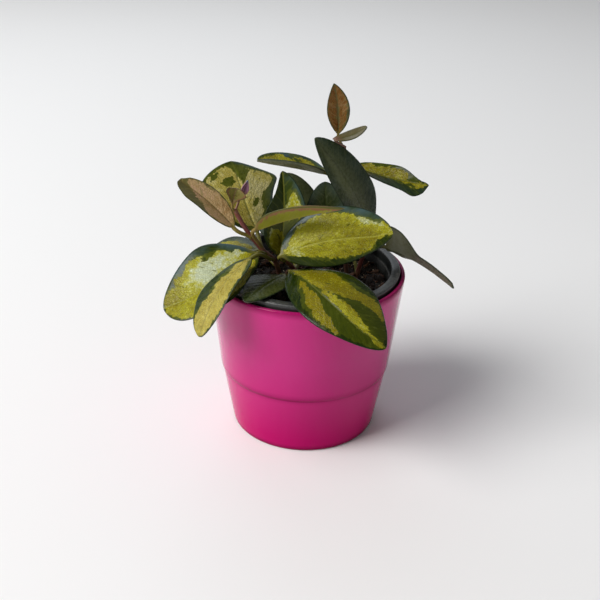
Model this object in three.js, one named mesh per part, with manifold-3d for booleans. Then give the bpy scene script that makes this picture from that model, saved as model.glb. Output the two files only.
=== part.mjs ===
// Potted wax plant with three-coloured leaves, in a black nursery pot inside a glazed cover pot.
// Millimetres, +Z up, the origin in the middle of the cover pot's foot, -Y the front.

import * as THREE from 'three';
import { mergeVertices } from 'three/addons/utils/BufferGeometryUtils.js';
import Module from 'manifold-3d';

// Clearance between pieces that touch
const GAP = 0.3;

// Cover pot
const RIM_RADIUS = 70;
const POT_HEIGHT = 121;
const WAIST_RADIUS = 62.2;
const WAIST_HEIGHT = 49.5;
const STEP_HEIGHT = 47;
const STEP_RADIUS = 61.2;
const FOOT_RADIUS = 53.4;
const FOOT_ROUNDING = 2;
const LIP_THICKNESS = 3;
const POT_WALL = 4;
const POT_FLOOR = 5;
const FLOOR_CHAMFER = 3;

// Nursery pot
const FLANGE_HEIGHT = 124.3;
const FLANGE_RADIUS = 66.2;
const FLANGE_MOUTH = 60.4;
const FLANGE_EDGE = 0.6;
const SKIRT_DEPTH = 7.5;
const SKIRT_DRAFT = 0.5;
const NURSERY_WALL = 1.1;
const NURSERY_FOOT_RADIUS = 46;
const NURSERY_FLOOR = 1.6;
const LEDGE_DEPTH = 7;
const LEDGE_WIDTH = 0.9;
const DRAIN_COUNT = 6;
const DRAIN_RADIUS = 4;
const DRAIN_CIRCLE = 32;
const POT_SEGMENTS = 56;

// Soil
const SOIL_HEIGHT = 112.5;
const SOIL_CROWN = 1;
const SOIL_SHOULDER = 0.8;

// Stems and leaves
const STEM_SIDES = 10;
const LEAF_THICKNESS = 1.5;
const STALK_RADIUS = 1.3;
const LEAF_SIDES = 16;
const STALK_RINGS = 5;
const BLADE_RINGS = 15;
const STALK_END = 0.97;
const BLADE_START = 0.1;
const WIDEST = 0.48;
const BLUNT = 0.56;
const DRIP_POINT = 0.1;
const DRIP_LENGTH = 0.06;
const LEAST_HALF = 0.3;
const LOBE_FADE = 3;
const HOOK_START = 0.9;
const SWEEP_END = 0.08;

const wasm = await Module();
wasm.setup();

const plant = new THREE.Group();

const finish = {
  glaze: new THREE.MeshStandardMaterial({ color: 0xb01f6b, roughness: 0.12, metalness: 0 }),
  plastic: new THREE.MeshStandardMaterial({ color: 0x1d1e1d, roughness: 0.5, metalness: 0 }),
  soil: new THREE.MeshStandardMaterial({ color: 0x1c130d, roughness: 0.95, metalness: 0 }),
  stem: new THREE.MeshStandardMaterial({ color: 0x6e2f2c, roughness: 0.5, metalness: 0 }),
  marbled: new THREE.MeshStandardMaterial({ color: 0x96913a, roughness: 0.3, metalness: 0 }),
  green: new THREE.MeshStandardMaterial({ color: 0x2c3a18, roughness: 0.3, metalness: 0 }),
  bronze: new THREE.MeshStandardMaterial({ color: 0x8e5a3c, roughness: 0.35, metalness: 0 }),
  purple: new THREE.MeshStandardMaterial({ color: 0x7a4a6c, roughness: 0.4, metalness: 0 }),
};

function addPiece(name, geometry, material) {
  const mesh = new THREE.Mesh(geometry, material);
  mesh.name = name;
  plant.add(mesh);
  return mesh;
}

// A closed geometry with its shared corners merged, as a solid that can be cut
function toSolid(geometry) {
  const bare = geometry.clone();
  bare.deleteAttribute('normal');
  bare.deleteAttribute('uv');
  const merged = mergeVertices(bare, 1e-4);
  const mesh = new wasm.Mesh({
    numProp: 3,
    vertProperties: new Float32Array(merged.attributes.position.array),
    triVerts: new Uint32Array(merged.index.array),
  });
  return new wasm.Manifold(mesh);
}

function toGeometry(solid) {
  const mesh = solid.getMesh();
  const geometry = new THREE.BufferGeometry();
  geometry.setAttribute('position', new THREE.BufferAttribute(new Float32Array(mesh.vertProperties), 3));
  geometry.setIndex(new THREE.BufferAttribute(new Uint32Array(mesh.triVerts), 1));
  geometry.computeVertexNormals();
  return geometry;
}

// Profiles are [radius, height] pairs turned around the pot's upright axis
function turned(profile, segments) {
  const points = profile.map(([radius, height]) => new THREE.Vector2(radius, height));
  const geometry = new THREE.LatheGeometry(points, segments);
  geometry.rotateX(Math.PI / 2);
  return geometry;
}

// An arc that rounds a profile's corner, from one angle to another in degrees
function arcPoints(centreRadius, centreHeight, radius, from, to, steps) {
  const points = [];
  for (let i = 0; i <= steps; i += 1) {
    const angle = THREE.MathUtils.degToRad(from + ((to - from) * i) / steps);
    points.push([centreRadius + radius * Math.cos(angle), centreHeight + radius * Math.sin(angle)]);
  }
  return points;
}

// Cover pot: a slip-cast shell, straight tapered sides, a small step above the foot section
function coverPot() {
  const lip = LIP_THICKNESS / 2;
  const outside = [
    [0, 0],
    ...arcPoints(FOOT_RADIUS - FOOT_ROUNDING, FOOT_ROUNDING, FOOT_ROUNDING, -90, -10, 3),
    [STEP_RADIUS, STEP_HEIGHT],
    [WAIST_RADIUS, WAIST_HEIGHT],
    ...arcPoints(RIM_RADIUS - lip, POT_HEIGHT - lip, lip, 0, 180, 4),
  ];
  const inside = [
    [WAIST_RADIUS - POT_WALL, WAIST_HEIGHT],
    [FOOT_RADIUS - POT_WALL, POT_FLOOR + FLOOR_CHAMFER],
    [FOOT_RADIUS - POT_WALL - FLOOR_CHAMFER, POT_FLOOR],
    [0, POT_FLOOR],
  ];
  return turned([...outside, ...inside], POT_SEGMENTS);
}

// The nursery pot stands on the cover pot's floor and its outside wall tapers evenly to the flange
const nurseryFoot = POT_FLOOR + GAP;
function nurseryRadius(height) {
  const rise = (height - nurseryFoot) / (FLANGE_HEIGHT - nurseryFoot);
  return THREE.MathUtils.lerp(NURSERY_FOOT_RADIUS, FLANGE_MOUTH + NURSERY_WALL, rise);
}

// Nursery pot: thin moulded wall, a flat flange whose edge turns down, a stacking ledge inside
function nurseryPot() {
  const under = FLANGE_HEIGHT - NURSERY_WALL;
  const ledge = FLANGE_HEIGHT - LEDGE_DEPTH;
  const floor = nurseryFoot + NURSERY_FLOOR;
  const profile = [
    [0, nurseryFoot],
    [nurseryRadius(nurseryFoot), nurseryFoot],
    [nurseryRadius(under), under],
    [FLANGE_RADIUS - NURSERY_WALL, under],
    [FLANGE_RADIUS - NURSERY_WALL - SKIRT_DRAFT, FLANGE_HEIGHT - SKIRT_DEPTH],
    [FLANGE_RADIUS - SKIRT_DRAFT, FLANGE_HEIGHT - SKIRT_DEPTH],
    [FLANGE_RADIUS, FLANGE_HEIGHT - FLANGE_EDGE],
    [FLANGE_RADIUS - FLANGE_EDGE, FLANGE_HEIGHT],
    [FLANGE_MOUTH, FLANGE_HEIGHT],
    [nurseryRadius(ledge) - NURSERY_WALL, ledge],
    [nurseryRadius(ledge) - NURSERY_WALL - LEDGE_WIDTH, ledge - FLANGE_EDGE],
    [nurseryRadius(floor) - NURSERY_WALL - LEDGE_WIDTH, floor],
    [0, floor],
  ];
  let pot = toSolid(turned(profile, POT_SEGMENTS));
  for (let i = 0; i < DRAIN_COUNT; i += 1) {
    const angle = (i / DRAIN_COUNT) * 2 * Math.PI;
    const drain = new THREE.CylinderGeometry(DRAIN_RADIUS, DRAIN_RADIUS, 4 * NURSERY_FLOOR, 12);
    drain.rotateX(Math.PI / 2);
    drain.translate(DRAIN_CIRCLE * Math.cos(angle), DRAIN_CIRCLE * Math.sin(angle), floor);
    pot = pot.subtract(toSolid(drain));
  }
  return toGeometry(pot);
}

// A stem is a round section drawn along a smooth curve through its points
function tube(points, radius) {
  const section = new THREE.Shape();
  section.absarc(0, 0, radius, 0, 2 * Math.PI);
  const route = new THREE.CatmullRomCurve3(points.map((point) => new THREE.Vector3(...point)));
  return new THREE.ExtrudeGeometry(section, {
    extrudePath: route,
    steps: 4 * (points.length - 1),
    curveSegments: STEM_SIDES,
  });
}

// Every stem's radius and the points along its middle, from the soil up
const STEMS = {
  stem_left: {
    radius: 1.7,
    route: [[-17, 2, 92], [-19, 0, 112], [-23, -4, 128], [-30, -9, 137], [-40, -14, 152],
      [-46, -16, 163], [-50, -18, 172]],
  },
  stem_middle: {
    radius: 1.7,
    route: [[-6, 6, 92], [-7, 4, 112], [-11, -4, 124], [-16, -12, 133]],
  },
  stem_tall: {
    radius: 1.7,
    route: [[30, 6, 92], [29, 7, 112], [26, 9, 140], [25, 9, 172], [24.5, 7, 195],
      [22.5, 4, 211.5]],
  },
  stem_right: {
    radius: 1.6,
    route: [[35, 7, 92], [36, 6, 112], [40, 5, 130], [45, 3, 144]],
  },
};

// Every leaf, grown from `stem` at `node`. `base` and `tip` are the ends of the blade and `faces` is
// the way its upper side looks. `wide` is the full width, `bow` is how far the midrib arches up and
// `sway` how far it bends to the right. `fold` lifts the left and right halves from flat, in degrees.
// `widest` is how far along the blade is widest, and a higher `blunt` gives a narrower, more pointed
// outline, as `tipBlunt` does beyond the widest place. `stalk` is the stalk's radius. `twist` turns the
// blade around its midrib `by` degrees between two places along it. `hook` bends the last of the tip to
// the right. `swept` slides the edges along the blade: the left and the right one at the base, then at
// the tip. Each of `lobes` is [side, place, reach, amount] and widens one half of the blade around a
// place along it, the left half with side -1 and the right half with 1.
const LEAVES = {
  leaf_top: {
    stem: 'stem_tall', node: [21.6, 4.5, 211], base: [18.5, 5, 218.8], tip: [14.4, 0, 254.2],
    faces: [0.1, -0.9, 0.3], wide: 16, bow: -1, sway: 1.5, fold: [14, 14], blunt: 0.75, stalk: 0.8,
    finish: 'bronze',
  },
  leaf_top_partner: {
    stem: 'stem_tall', node: [23.6, 2.6, 210.5], base: [17.6, -2.2, 217.2], tip: [37.6, 4, 224.8],
    faces: [-0.2, -0.25, 0.95], wide: 12, bow: -2, sway: 0, fold: [10, 10], stalk: 0.8,
    swept: [-3, -3, 0, 0], finish: 'green',
  },
  leaf_upper_dark: {
    stem: 'stem_right', node: [45, 3, 144], base: [44.4, 13, 144.7], tip: [3, -10, 220.4],
    faces: [0.45, -0.75, 0.4], wide: 30.5, bow: 3, sway: 3, fold: [8, 8], blunt: 0.65,
    lobes: [[1, 0.3, 0.2, 2], [-1, 0.5, 0.3, -1.5]], finish: 'green',
  },
  leaf_upper_left: {
    stem: 'stem_tall', node: [25, 9, 170], base: [11.4, 10, 189.3], tip: [-36, 4, 199],
    faces: [0, 0.05, 1], wide: 25, bow: 0.5, sway: 0, fold: [30, 30], tipBlunt: 0.45, finish: 'marbled',
  },
  leaf_upper_right: {
    stem: 'stem_tall', node: [25, 9, 172], base: [30.9, 27, 188.4], tip: [82.7, 7, 183.3],
    faces: [0, 0.05, 1], wide: 25, bow: -1.5, sway: 0, fold: [25, 15], twist: { by: 50 }, widest: 0.46,
    blunt: 0.45, tipBlunt: 0.8, swept: [0, 0, 0, 3],
    lobes: [[1, 0.84, 0.12, 5.5], [1, 0.5, 0.2, -2.5], [-1, 0.5, 0.35, -2], [-1, 0.85, 0.15, -2]],
    finish: 'marbled',
  },
  leaf_left_bronze: {
    stem: 'stem_left', node: [-39, -14, 150], base: [-51, -19, 159.3], tip: [-87.8, -12, 189],
    faces: [0.3, -0.6, 0.7], wide: 20, bow: 1, sway: 1.8, fold: [18, 18], tipBlunt: 0.45, hook: 1.3,
    lobes: [[-1, 0.82, 0.15, 1.8]], finish: 'bronze',
  },
  leaf_centre: {
    stem: 'stem_middle', node: [-16, -12, 132], base: [-17.7, -22, 140.4], tip: [57.1, -26, 160.1],
    faces: [0, -0.75, 0.66], wide: 42, bow: 4, sway: -6, fold: [-4, -20], finish: 'marbled',
  },
  bud_leaf: {
    stem: 'stem_left', node: [-50.3, -18.6, 171], base: [-51.4, -20, 175], tip: [-48.7, -16, 186.3],
    faces: [0.4, -0.8, 0.3], wide: 17, bow: -1, sway: 0, fold: [25, 25], widest: 0.75, tipBlunt: 0.3,
    stalk: 0.8, swept: [0, 0, 1.5, -1.5], finish: 'marbled',
  },
  bud_tip: {
    stem: 'stem_left', node: [-49.3, -17, 170.5], base: [-45.6, -12, 180.4], tip: [-41.4, -8, 189.4],
    faces: [0.6, -0.7, 0.3], wide: 7, bow: 0, sway: 0, fold: [30, 30], widest: 0.34, tipBlunt: 1,
    stalk: 0.8, finish: 'purple',
  },
  leaf_back_left: {
    stem: 'stem_left', node: [-32, -10, 140], base: [-36, 2, 148], tip: [-56.8, 38, 186.2],
    faces: [0.1, -0.6, 0.75], wide: 58, bow: 3, sway: 0, fold: [10, -20], widest: 0.55,
    lobes: [[1, 0.74, 0.12, 6], [1, 0.42, 0.18, -5], [-1, 0.72, 0.2, 2.2]], finish: 'marbled',
  },
  leaf_boat: {
    stem: 'stem_left', node: [-32, -10, 140], base: [-34.9, -20, 158.7], tip: [23.6, -32, 180],
    faces: [-0.2, 0.3, 0.95], wide: 18.5, bow: 2, sway: 0, fold: [50, 56], widest: 0.3, blunt: 0.8,
    tipBlunt: 1, finish: 'green',
  },
  leaf_centre_back: {
    stem: 'stem_middle', node: [-13, -8, 128], base: [-19.3, -4, 132], tip: [-18.6, 6, 191.4],
    faces: [0, -0.95, 0.3], wide: 33, bow: 3, sway: 2, fold: [35, 15], blunt: 0.65,
    lobes: [[-1, 0.78, 0.2, -5.5], [-1, 0.2, 0.15, 1.5]], finish: 'marbled',
  },
  leaf_dark_behind: {
    stem: 'stem_middle', node: [-8.5, 1, 119], base: [-3, 14, 126], tip: [-17.5, 22, 184],
    faces: [0.2, -0.95, 0.3], wide: 32, bow: 3, sway: 4, fold: [10, 10], finish: 'green',
  },
  leaf_dark_middle: {
    stem: 'stem_tall', node: [29, 9, 125], base: [14, 7, 138], tip: [11, 10, 183],
    faces: [0, -0.95, 0.3], wide: 29, bow: 2, sway: 0, fold: [5, 5], finish: 'green',
  },
  leaf_low_left: {
    stem: 'stem_left', node: [-28, -7.5, 135], base: [-35.4, -18, 139.2], tip: [-96.6, -44, 108.4],
    faces: [-0.15, -0.75, 0.65], wide: 51, bow: 7, sway: -3, fold: [24, -8],
    lobes: [[-1, 0.2, 0.2, -4.5], [-1, 0.87, 0.14, 3], [1, 0.3, 0.3, 3]], finish: 'marbled',
  },
  leaf_low_left_front: {
    stem: 'stem_left', node: [-24, -5, 129.5], base: [-38.5, -34, 142.7], tip: [-69, -74.5, 104.3],
    faces: [-0.6, -0.5, 0.6], wide: 32, bow: 8, sway: -1, fold: [5, 5],
    lobes: [[1, 0.3, 0.25, -4], [-1, 0.4, 0.3, -3.5], [1, 0.9, 0.1, 1.2]], finish: 'bronze',
  },
  leaf_low_left_behind: {
    stem: 'stem_left', node: [-22, -3, 124], base: [-36, 8, 130], tip: [-76, 14, 121],
    faces: [0, -0.1, 1], wide: 34, bow: 5, sway: 0, fold: [0, 0], finish: 'green',
  },
  leaf_left_rim: {
    stem: 'stem_left', node: [-19.5, 0, 115], base: [-15.8, -14.2, 121], tip: [-39.2, -66, 126.6],
    faces: [0.1, -0.35, 0.93], wide: 27, bow: 3, sway: 0, fold: [8, -14],
    lobes: [[1, 0.75, 0.2, -1], [1, 0.35, 0.25, 4.5], [-1, 0.6, 0.3, -2]], finish: 'green',
  },
  leaf_front_right: {
    stem: 'stem_middle', node: [-8, 2, 117], base: [-11, -21, 127.9], tip: [51.1, -92, 109.1],
    faces: [-0.1, -0.5, 0.85], wide: 50, bow: 18, sway: 2, fold: [-20, -2], tipBlunt: 0.6,
    lobes: [[-1, 0.74, 0.22, 4.2], [1, 0.2, 0.3, -3.5], [1, 0.8, 0.25, -0.8]], finish: 'marbled',
  },
  leaf_right_hanging: {
    stem: 'stem_right', node: [41.5, 4.8, 133], base: [55.9, 6, 136.4], tip: [106.2, 0, 107.8],
    faces: [0.3, 0.85, 0.45], wide: 36, bow: 4, sway: 0, fold: [-25, 45],
    twist: { by: 60, from: 0.1, to: 0.45 }, widest: 0.14, blunt: 0.45, tipBlunt: 2.2,
    swept: [0, -7, 0, 0],
    lobes: [[-1, 0.12, 0.24, -16], [-1, 0.75, 0.2, 9], [1, 0.2, 0.18, -4], [1, 0.8, 0.2, 14]],
    finish: 'green',
  },
  leaf_rear_left: {
    stem: 'stem_middle', node: [-7, 4, 116], base: [-12, 26, 122], tip: [-26, 82, 126],
    faces: [0, 0, 1], wide: 42, bow: 5, sway: 0, fold: [10, 10], finish: 'marbled',
  },
  leaf_rear_right: {
    stem: 'stem_right', node: [36, 6, 116], base: [34, 22, 124], tip: [34, 80, 116], faces: [0, 0, 1],
    wide: 38, bow: 9, sway: 0, fold: [10, 10], finish: 'green',
  },
};

// Half width of a blade as a part of its greatest, `along` from 0 at the base to 1 at the tip: an oval
// that ends in a short narrow drip point
function outline(along, widest, blunt, tipBlunt) {
  const stretched = along ** (Math.log(0.5) / Math.log(widest));
  const oval = Math.sin(Math.PI * Math.min(1, stretched)) ** (along < widest ? blunt : tipBlunt);
  const point = DRIP_POINT * Math.min(1, (1 - along) / DRIP_LENGTH);
  return (oval ** 3 + point ** 3) ** (1 / 3);
}

// A leaf's midrib point at `along`, with the directions along it, up from it and to its side
function frameOfLeaf(leaf) {
  const base = new THREE.Vector3(...leaf.base);
  const tip = new THREE.Vector3(...leaf.tip);
  const chord = tip.clone().sub(base);
  const axis = chord.clone().normalize();
  const faces = new THREE.Vector3(...leaf.faces);
  const up = faces.addScaledVector(axis, -faces.dot(axis)).normalize();
  const side = axis.clone().cross(up);
  const twist = { by: 0, from: 0, to: 1, ...leaf.twist };
  const place = (along) => {
    const hump = 4 * along * (1 - along);
    const hooked = THREE.MathUtils.clamp((along - HOOK_START) / (1 - HOOK_START), 0, 1) ** 2;
    return base.clone()
      .addScaledVector(chord, along)
      .addScaledVector(up, leaf.bow * hump)
      .addScaledVector(side, leaf.sway * hump + (leaf.hook ?? 0) * hooked);
  };
  return (along) => {
    const run = place(along + 0.01).sub(place(along - 0.01)).normalize();
    const top = up.clone().addScaledVector(run, -up.dot(run)).normalize();
    const turn = twist.by * THREE.MathUtils.smoothstep(along, twist.from, twist.to);
    top.applyAxisAngle(run, THREE.MathUtils.degToRad(turn));
    return { middle: place(along), run, top, side: run.clone().cross(top) };
  };
}

// The stalk leaves the stem straight and curves to meet the blade in line with its midrib
function stalkCurve(leaf, run) {
  const start = new THREE.Vector3(...leaf.node);
  const end = new THREE.Vector3(...leaf.base);
  const reach = start.distanceTo(end) * 0.4;
  const pull = end.clone().sub(start).normalize().multiplyScalar(reach);
  return new THREE.CubicBezierCurve3(
    start,
    start.clone().add(pull),
    end.clone().addScaledVector(run, -reach),
    end,
  );
}

// Half width of one half of a blade, in millimetres
function halfWidth(leaf, along, across) {
  const blunt = leaf.blunt ?? BLUNT;
  const shape = outline(along, leaf.widest ?? WIDEST, blunt, leaf.tipBlunt ?? blunt);
  let half = (leaf.wide / 2) * shape;
  for (const [where, at, reach, amount] of leaf.lobes ?? []) {
    if (where * across > 0) {
      half += amount * Math.exp(-(((along - at) / reach) ** 2)) * Math.min(1, LOBE_FADE * shape);
    }
  }
  return Math.max(half, LEAST_HALF);
}

// How far a point of one half of a blade slides along it
function slide(leaf, along, across) {
  const [leftBase, rightBase, leftTip, rightTip] = leaf.swept ?? [0, 0, 0, 0];
  const atBase = (across < 0 ? leftBase : rightBase) * (1 - along) ** 2;
  const atTip = (across < 0 ? leftTip : rightTip) * along ** 2 * Math.min(1, (1 - along) / SWEEP_END);
  return (atBase + atTip) * across ** 2;
}

// A leaf is a sphere whose rings run from the foot of the stalk to the tip of the blade: each ring is
// round on the stalk and a thin folded lens on the blade
function leafGeometry(leaf) {
  const frameAt = frameOfLeaf(leaf);
  const start = frameAt(0);
  const stalk = stalkCurve(leaf, start.run);
  const radius = leaf.stalk ?? STALK_RADIUS;
  const rings = STALK_RINGS + BLADE_RINGS;
  const geometry = new THREE.SphereGeometry(1, LEAF_SIDES, rings);
  const position = geometry.attributes.position;
  const uv = geometry.attributes.uv;
  const point = new THREE.Vector3();
  for (let i = 0; i < position.count; i += 1) {
    const ring = Math.round((1 - uv.getY(i)) * rings);
    const angle = Math.round(uv.getX(i) * LEAF_SIDES) * ((2 * Math.PI) / LEAF_SIDES);
    const atPole = ring === 0 || ring === rings;
    const across = atPole ? 0 : Math.cos(angle);
    const above = atPole ? 0 : Math.sin(angle);
    if (ring <= STALK_RINGS) {
      const along = (STALK_END * Math.max(0, ring - 1)) / (STALK_RINGS - 1);
      const run = stalk.getTangent(along);
      const side = start.side.clone().addScaledVector(run, -start.side.dot(run)).normalize();
      const top = side.clone().cross(run);
      point.copy(stalk.getPoint(along))
        .addScaledVector(side, across * radius)
        .addScaledVector(top, above * radius);
    } else {
      const step = (ring - STALK_RINGS) / BLADE_RINGS;
      const station = BLADE_START + (1 - BLADE_START) * step;
      const along = 0.5 - 0.5 * Math.cos(Math.PI * station);
      const { middle, run, top, side } = frameAt(along);
      const half = halfWidth(leaf, along, across);
      const lean = THREE.MathUtils.degToRad(across < 0 ? leaf.fold[0] : leaf.fold[1]);
      const lift = Math.abs(across) * half * Math.sin(lean) + (LEAF_THICKNESS / 2) * above;
      point.copy(middle)
        .addScaledVector(side, across * half * Math.cos(lean))
        .addScaledVector(top, lift)
        .addScaledVector(run, slide(leaf, along, across));
    }
    position.setXYZ(i, point.x, point.y, point.z);
  }
  return geometry;
}

// The pots
addPiece('cover_pot', toGeometry(toSolid(coverPot())), finish.glaze);
addPiece('nursery_pot', nurseryPot(), finish.plastic);

// The same route run on past both of its ends
function lengthened(route, extra) {
  const beyond = (end, next) => {
    const point = new THREE.Vector3(...end);
    const reach = point.clone().sub(new THREE.Vector3(...next)).setLength(extra);
    return point.add(reach).toArray();
  };
  const last = route.length - 1;
  return [beyond(route[0], route[1]), ...route.slice(1, last), beyond(route[last], route[last - 1])];
}

// The stems, and the room that each one takes in the soil and at the foot of its leaf stalks
const stemRoom = {};
for (const [name, stem] of Object.entries(STEMS)) {
  addPiece(name, toGeometry(toSolid(tube(stem.route, stem.radius))), finish.stem);
  stemRoom[name] = toSolid(tube(lengthened(stem.route, GAP), stem.radius + GAP));
}

// The soil fills the nursery pot around the stems, a little higher in the middle
function soil() {
  const foot = nurseryFoot + NURSERY_FLOOR + GAP;
  const inset = NURSERY_WALL + LEDGE_WIDTH + GAP;
  const block = turned([
    [0, foot],
    [nurseryRadius(foot) - inset, foot],
    [nurseryRadius(SOIL_HEIGHT - SOIL_CROWN) - inset, SOIL_HEIGHT - SOIL_CROWN],
    [nurseryRadius(SOIL_HEIGHT) * SOIL_SHOULDER, SOIL_HEIGHT],
    [0, SOIL_HEIGHT + SOIL_CROWN],
  ], POT_SEGMENTS);
  let body = toSolid(block);
  for (const room of Object.values(stemRoom)) {
    body = body.subtract(room);
  }
  return toGeometry(body);
}
addPiece('potting_soil', soil(), finish.soil);

// The leaves, each stalk cut off just clear of its stem
for (const [name, leaf] of Object.entries(LEAVES)) {
  const whole = toSolid(leafGeometry(leaf));
  const seated = whole.subtract(stemRoom[leaf.stem]);
  const pieces = seated.decompose().sort((a, b) => b.volume() - a.volume());
  addPiece(name, toGeometry(pieces[0]), finish[leaf.finish]);
}

export default plant;
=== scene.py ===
import math

import bmesh
import bpy
import numpy as np
from mathutils import Matrix


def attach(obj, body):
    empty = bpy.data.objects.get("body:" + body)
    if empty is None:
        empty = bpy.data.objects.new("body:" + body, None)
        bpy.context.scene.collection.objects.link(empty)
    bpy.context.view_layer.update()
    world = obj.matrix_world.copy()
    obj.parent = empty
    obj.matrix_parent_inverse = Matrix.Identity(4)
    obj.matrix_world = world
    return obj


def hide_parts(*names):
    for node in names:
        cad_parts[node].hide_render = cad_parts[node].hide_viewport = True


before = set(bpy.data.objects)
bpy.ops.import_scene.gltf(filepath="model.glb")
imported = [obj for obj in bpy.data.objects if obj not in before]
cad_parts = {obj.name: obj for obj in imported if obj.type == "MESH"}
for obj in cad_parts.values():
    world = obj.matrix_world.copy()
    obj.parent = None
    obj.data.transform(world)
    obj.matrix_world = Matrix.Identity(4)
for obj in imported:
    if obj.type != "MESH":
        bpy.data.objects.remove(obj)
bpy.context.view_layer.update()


# The viewpoint: above the rim of the pot and in front of it, looking down on the leaves, with the slight
# tilt of a camera held by hand. The lens and the film are in millimetres, the angles in degrees.
LENS, FILM = 57.0, 36.0
CAMERA_PLACE = (0.0, -0.615, 0.410)
LOOKS_DOWN, TURNED, TILTED = 27.1, 0.42, 1.3
camera = bpy.data.objects.new("camera", bpy.data.cameras.new("camera"))
camera.data.lens = LENS
camera.data.sensor_width = FILM
camera.matrix_world = (
    Matrix.Translation(CAMERA_PLACE)
    @ Matrix.Rotation(math.radians(TURNED), 4, "Z")
    @ Matrix.Rotation(math.radians(90 - LOOKS_DOWN), 4, "X")
    @ Matrix.Rotation(math.radians(TILTED), 4, "Z")
)
bpy.context.scene.collection.objects.link(camera)
bpy.context.scene.camera = camera


# The room: a wide matt floor in off-white, a pale wall behind and a dim room in front, a large window
# high on the left and a smaller cool one behind, as soft daylight falls on a plant near a window.
def put(tree, kind, *wires, **settings):
    """A shader node with its settings, and each input joined to a socket or given a value."""
    made = tree.nodes.new("ShaderNode" + kind)
    for key, value in settings.items():
        setattr(made, key, value)
    for name, value in wires:
        if isinstance(value, bpy.types.NodeSocket):
            tree.links.new(value, made.inputs[name])
        else:
            made.inputs[name].default_value = value
    return made


def new_finish(name, **constants):
    """A material with one Principled shader, its constants set on the shader's own sockets."""
    made = bpy.data.materials.new(name)
    made.use_nodes = True
    shader = made.node_tree.nodes["Principled BSDF"]
    for key, value in constants.items():
        shader.inputs[key.replace("_", " ")].default_value = value
    return made, made.node_tree, shader


def mixed(tree, share, first, second):
    """A colour between two others."""
    made = put(tree, "Mix", (0, share), (6, first), (7, second), data_type="RGBA")
    return made.outputs[2]


def between(tree, value, low, high):
    """0 below low, 1 above high, and an even slope between."""
    made = put(tree, "MapRange", ("Value", value), ("From Min", low), ("From Max", high))
    return made.outputs["Result"]


FLOOR_REACH = 6.0
OFF_WHITE, BRIGHT_WHITE = (0.85, 0.85, 0.855, 1), (0.90, 0.90, 0.905, 1)
DIM_ROOM, PALE_WALL = (0.17, 0.165, 0.16, 1), (0.50, 0.53, 0.57, 1)
corners = [(-FLOOR_REACH, -FLOOR_REACH, 0), (FLOOR_REACH, -FLOOR_REACH, 0)]
corners += [(FLOOR_REACH, FLOOR_REACH, 0), (-FLOOR_REACH, FLOOR_REACH, 0)]
floor_mesh = bpy.data.meshes.new("floor")
floor_mesh.from_pydata(corners, [], [(0, 1, 2, 3)])
floor = bpy.data.objects.new("floor", floor_mesh)
bpy.context.scene.collection.objects.link(floor)
floor_paint, tree, shader = new_finish("off_white_floor", Roughness=0.75)
cloud = put(tree, "TexNoise", ("Scale", 1.3), ("Detail", 2.0))
tree.links.new(mixed(tree, cloud.outputs["Fac"], OFF_WHITE, BRIGHT_WHITE), shader.inputs["Base Color"])
floor_mesh.materials.append(floor_paint)

room = bpy.data.worlds.new("room")
room.use_nodes = True
tree = room.node_tree
way = put(tree, "SeparateXYZ", (0, put(tree, "TexCoord").outputs["Generated"]))
level, ahead = way.outputs["Z"], way.outputs["Y"]
ahead = put(tree, "Math", (0, level), (1, -0.6), (2, ahead), operation="MULTIPLY_ADD").outputs[0]
walls = mixed(tree, between(tree, ahead, -0.3, 0.9), DIM_ROOM, PALE_WALL)
tree.links.new(walls, tree.nodes["Background"].inputs["Color"])
bpy.context.scene.world = room
bpy.context.scene.view_settings.view_transform = "Standard"


def window(name, place, aim, width, height, power, colour):
    """A window as a rectangle of light at a place, facing the point that it is aimed at."""
    light = bpy.data.lights.new(name, "AREA")
    light.shape = "RECTANGLE"
    light.size = width
    light.size_y = height
    light.energy = power
    light.color = colour
    made = bpy.data.objects.new(name, light)
    away = np.array(place) - np.array(aim)
    made.matrix_world = Matrix.Translation(place) @ (
        Matrix.Rotation(math.atan2(away[0], -away[1]), 4, "Z")
        @ Matrix.Rotation(math.acos(away[2] / np.linalg.norm(away)), 4, "X")
    )
    bpy.context.scene.collection.objects.link(made)


window("window_left", (-2.5, -1.05, 2.5), (-0.3, 0.6, 0.0), 2.4, 2.4, 165.0, (1.0, 0.99, 0.97))
window("window_behind", (-0.35, 1.5, 1.35), (0, 0, 0.15), 1.2, 0.7, 4.5, (0.84, 0.92, 1.0))


# The cover pot: earthenware slip-cast in a round plaster mould and dipped in a glossy magenta glaze, with
# a rounded lip and a small step above its foot. At the edges the glaze is painted deeper in colour, partly
# glaze gathered there and partly painted shade in the crease of the step.
def skin(name, rings, start, end, **marks):
    """A closed mesh through rings of points, with one more point at each end. Each mark is a number
    for every point, which the materials read."""
    count, around = rings.shape[:2]
    points = np.concatenate([np.reshape(start, (1, 3)), rings.reshape(-1, 3), np.reshape(end, (1, 3))])
    ring, step = np.meshgrid(np.arange(count - 1), np.arange(around), indexing="ij")
    here = 1 + ring * around + step
    beside = 1 + ring * around + (step + 1) % around
    walls = np.stack([here, beside, beside + around, here + around], -1).reshape(-1, 4)
    turn = np.arange(around)
    first = np.stack([np.zeros_like(turn), 1 + (turn + 1) % around, 1 + turn], -1)
    top = 1 + (count - 1) * around
    last = np.stack([np.full_like(turn, len(points) - 1), top + turn, top + (turn + 1) % around], -1)
    mesh = bpy.data.meshes.new(name)
    mesh.from_pydata(points.tolist(), [], walls.tolist() + first.tolist() + last.tolist())
    mesh.shade_smooth()
    for label, values in marks.items():
        values = np.broadcast_to(values, (count, around))
        whole = np.concatenate([[values[0].mean()], values.ravel(), [values[-1].mean()]])
        mesh.attributes.new(label, "FLOAT", "POINT").data.foreach_set("value", whole.astype(np.float32))
    made = bpy.data.objects.new(name, mesh)
    bpy.context.scene.collection.objects.link(made)
    return made


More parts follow.
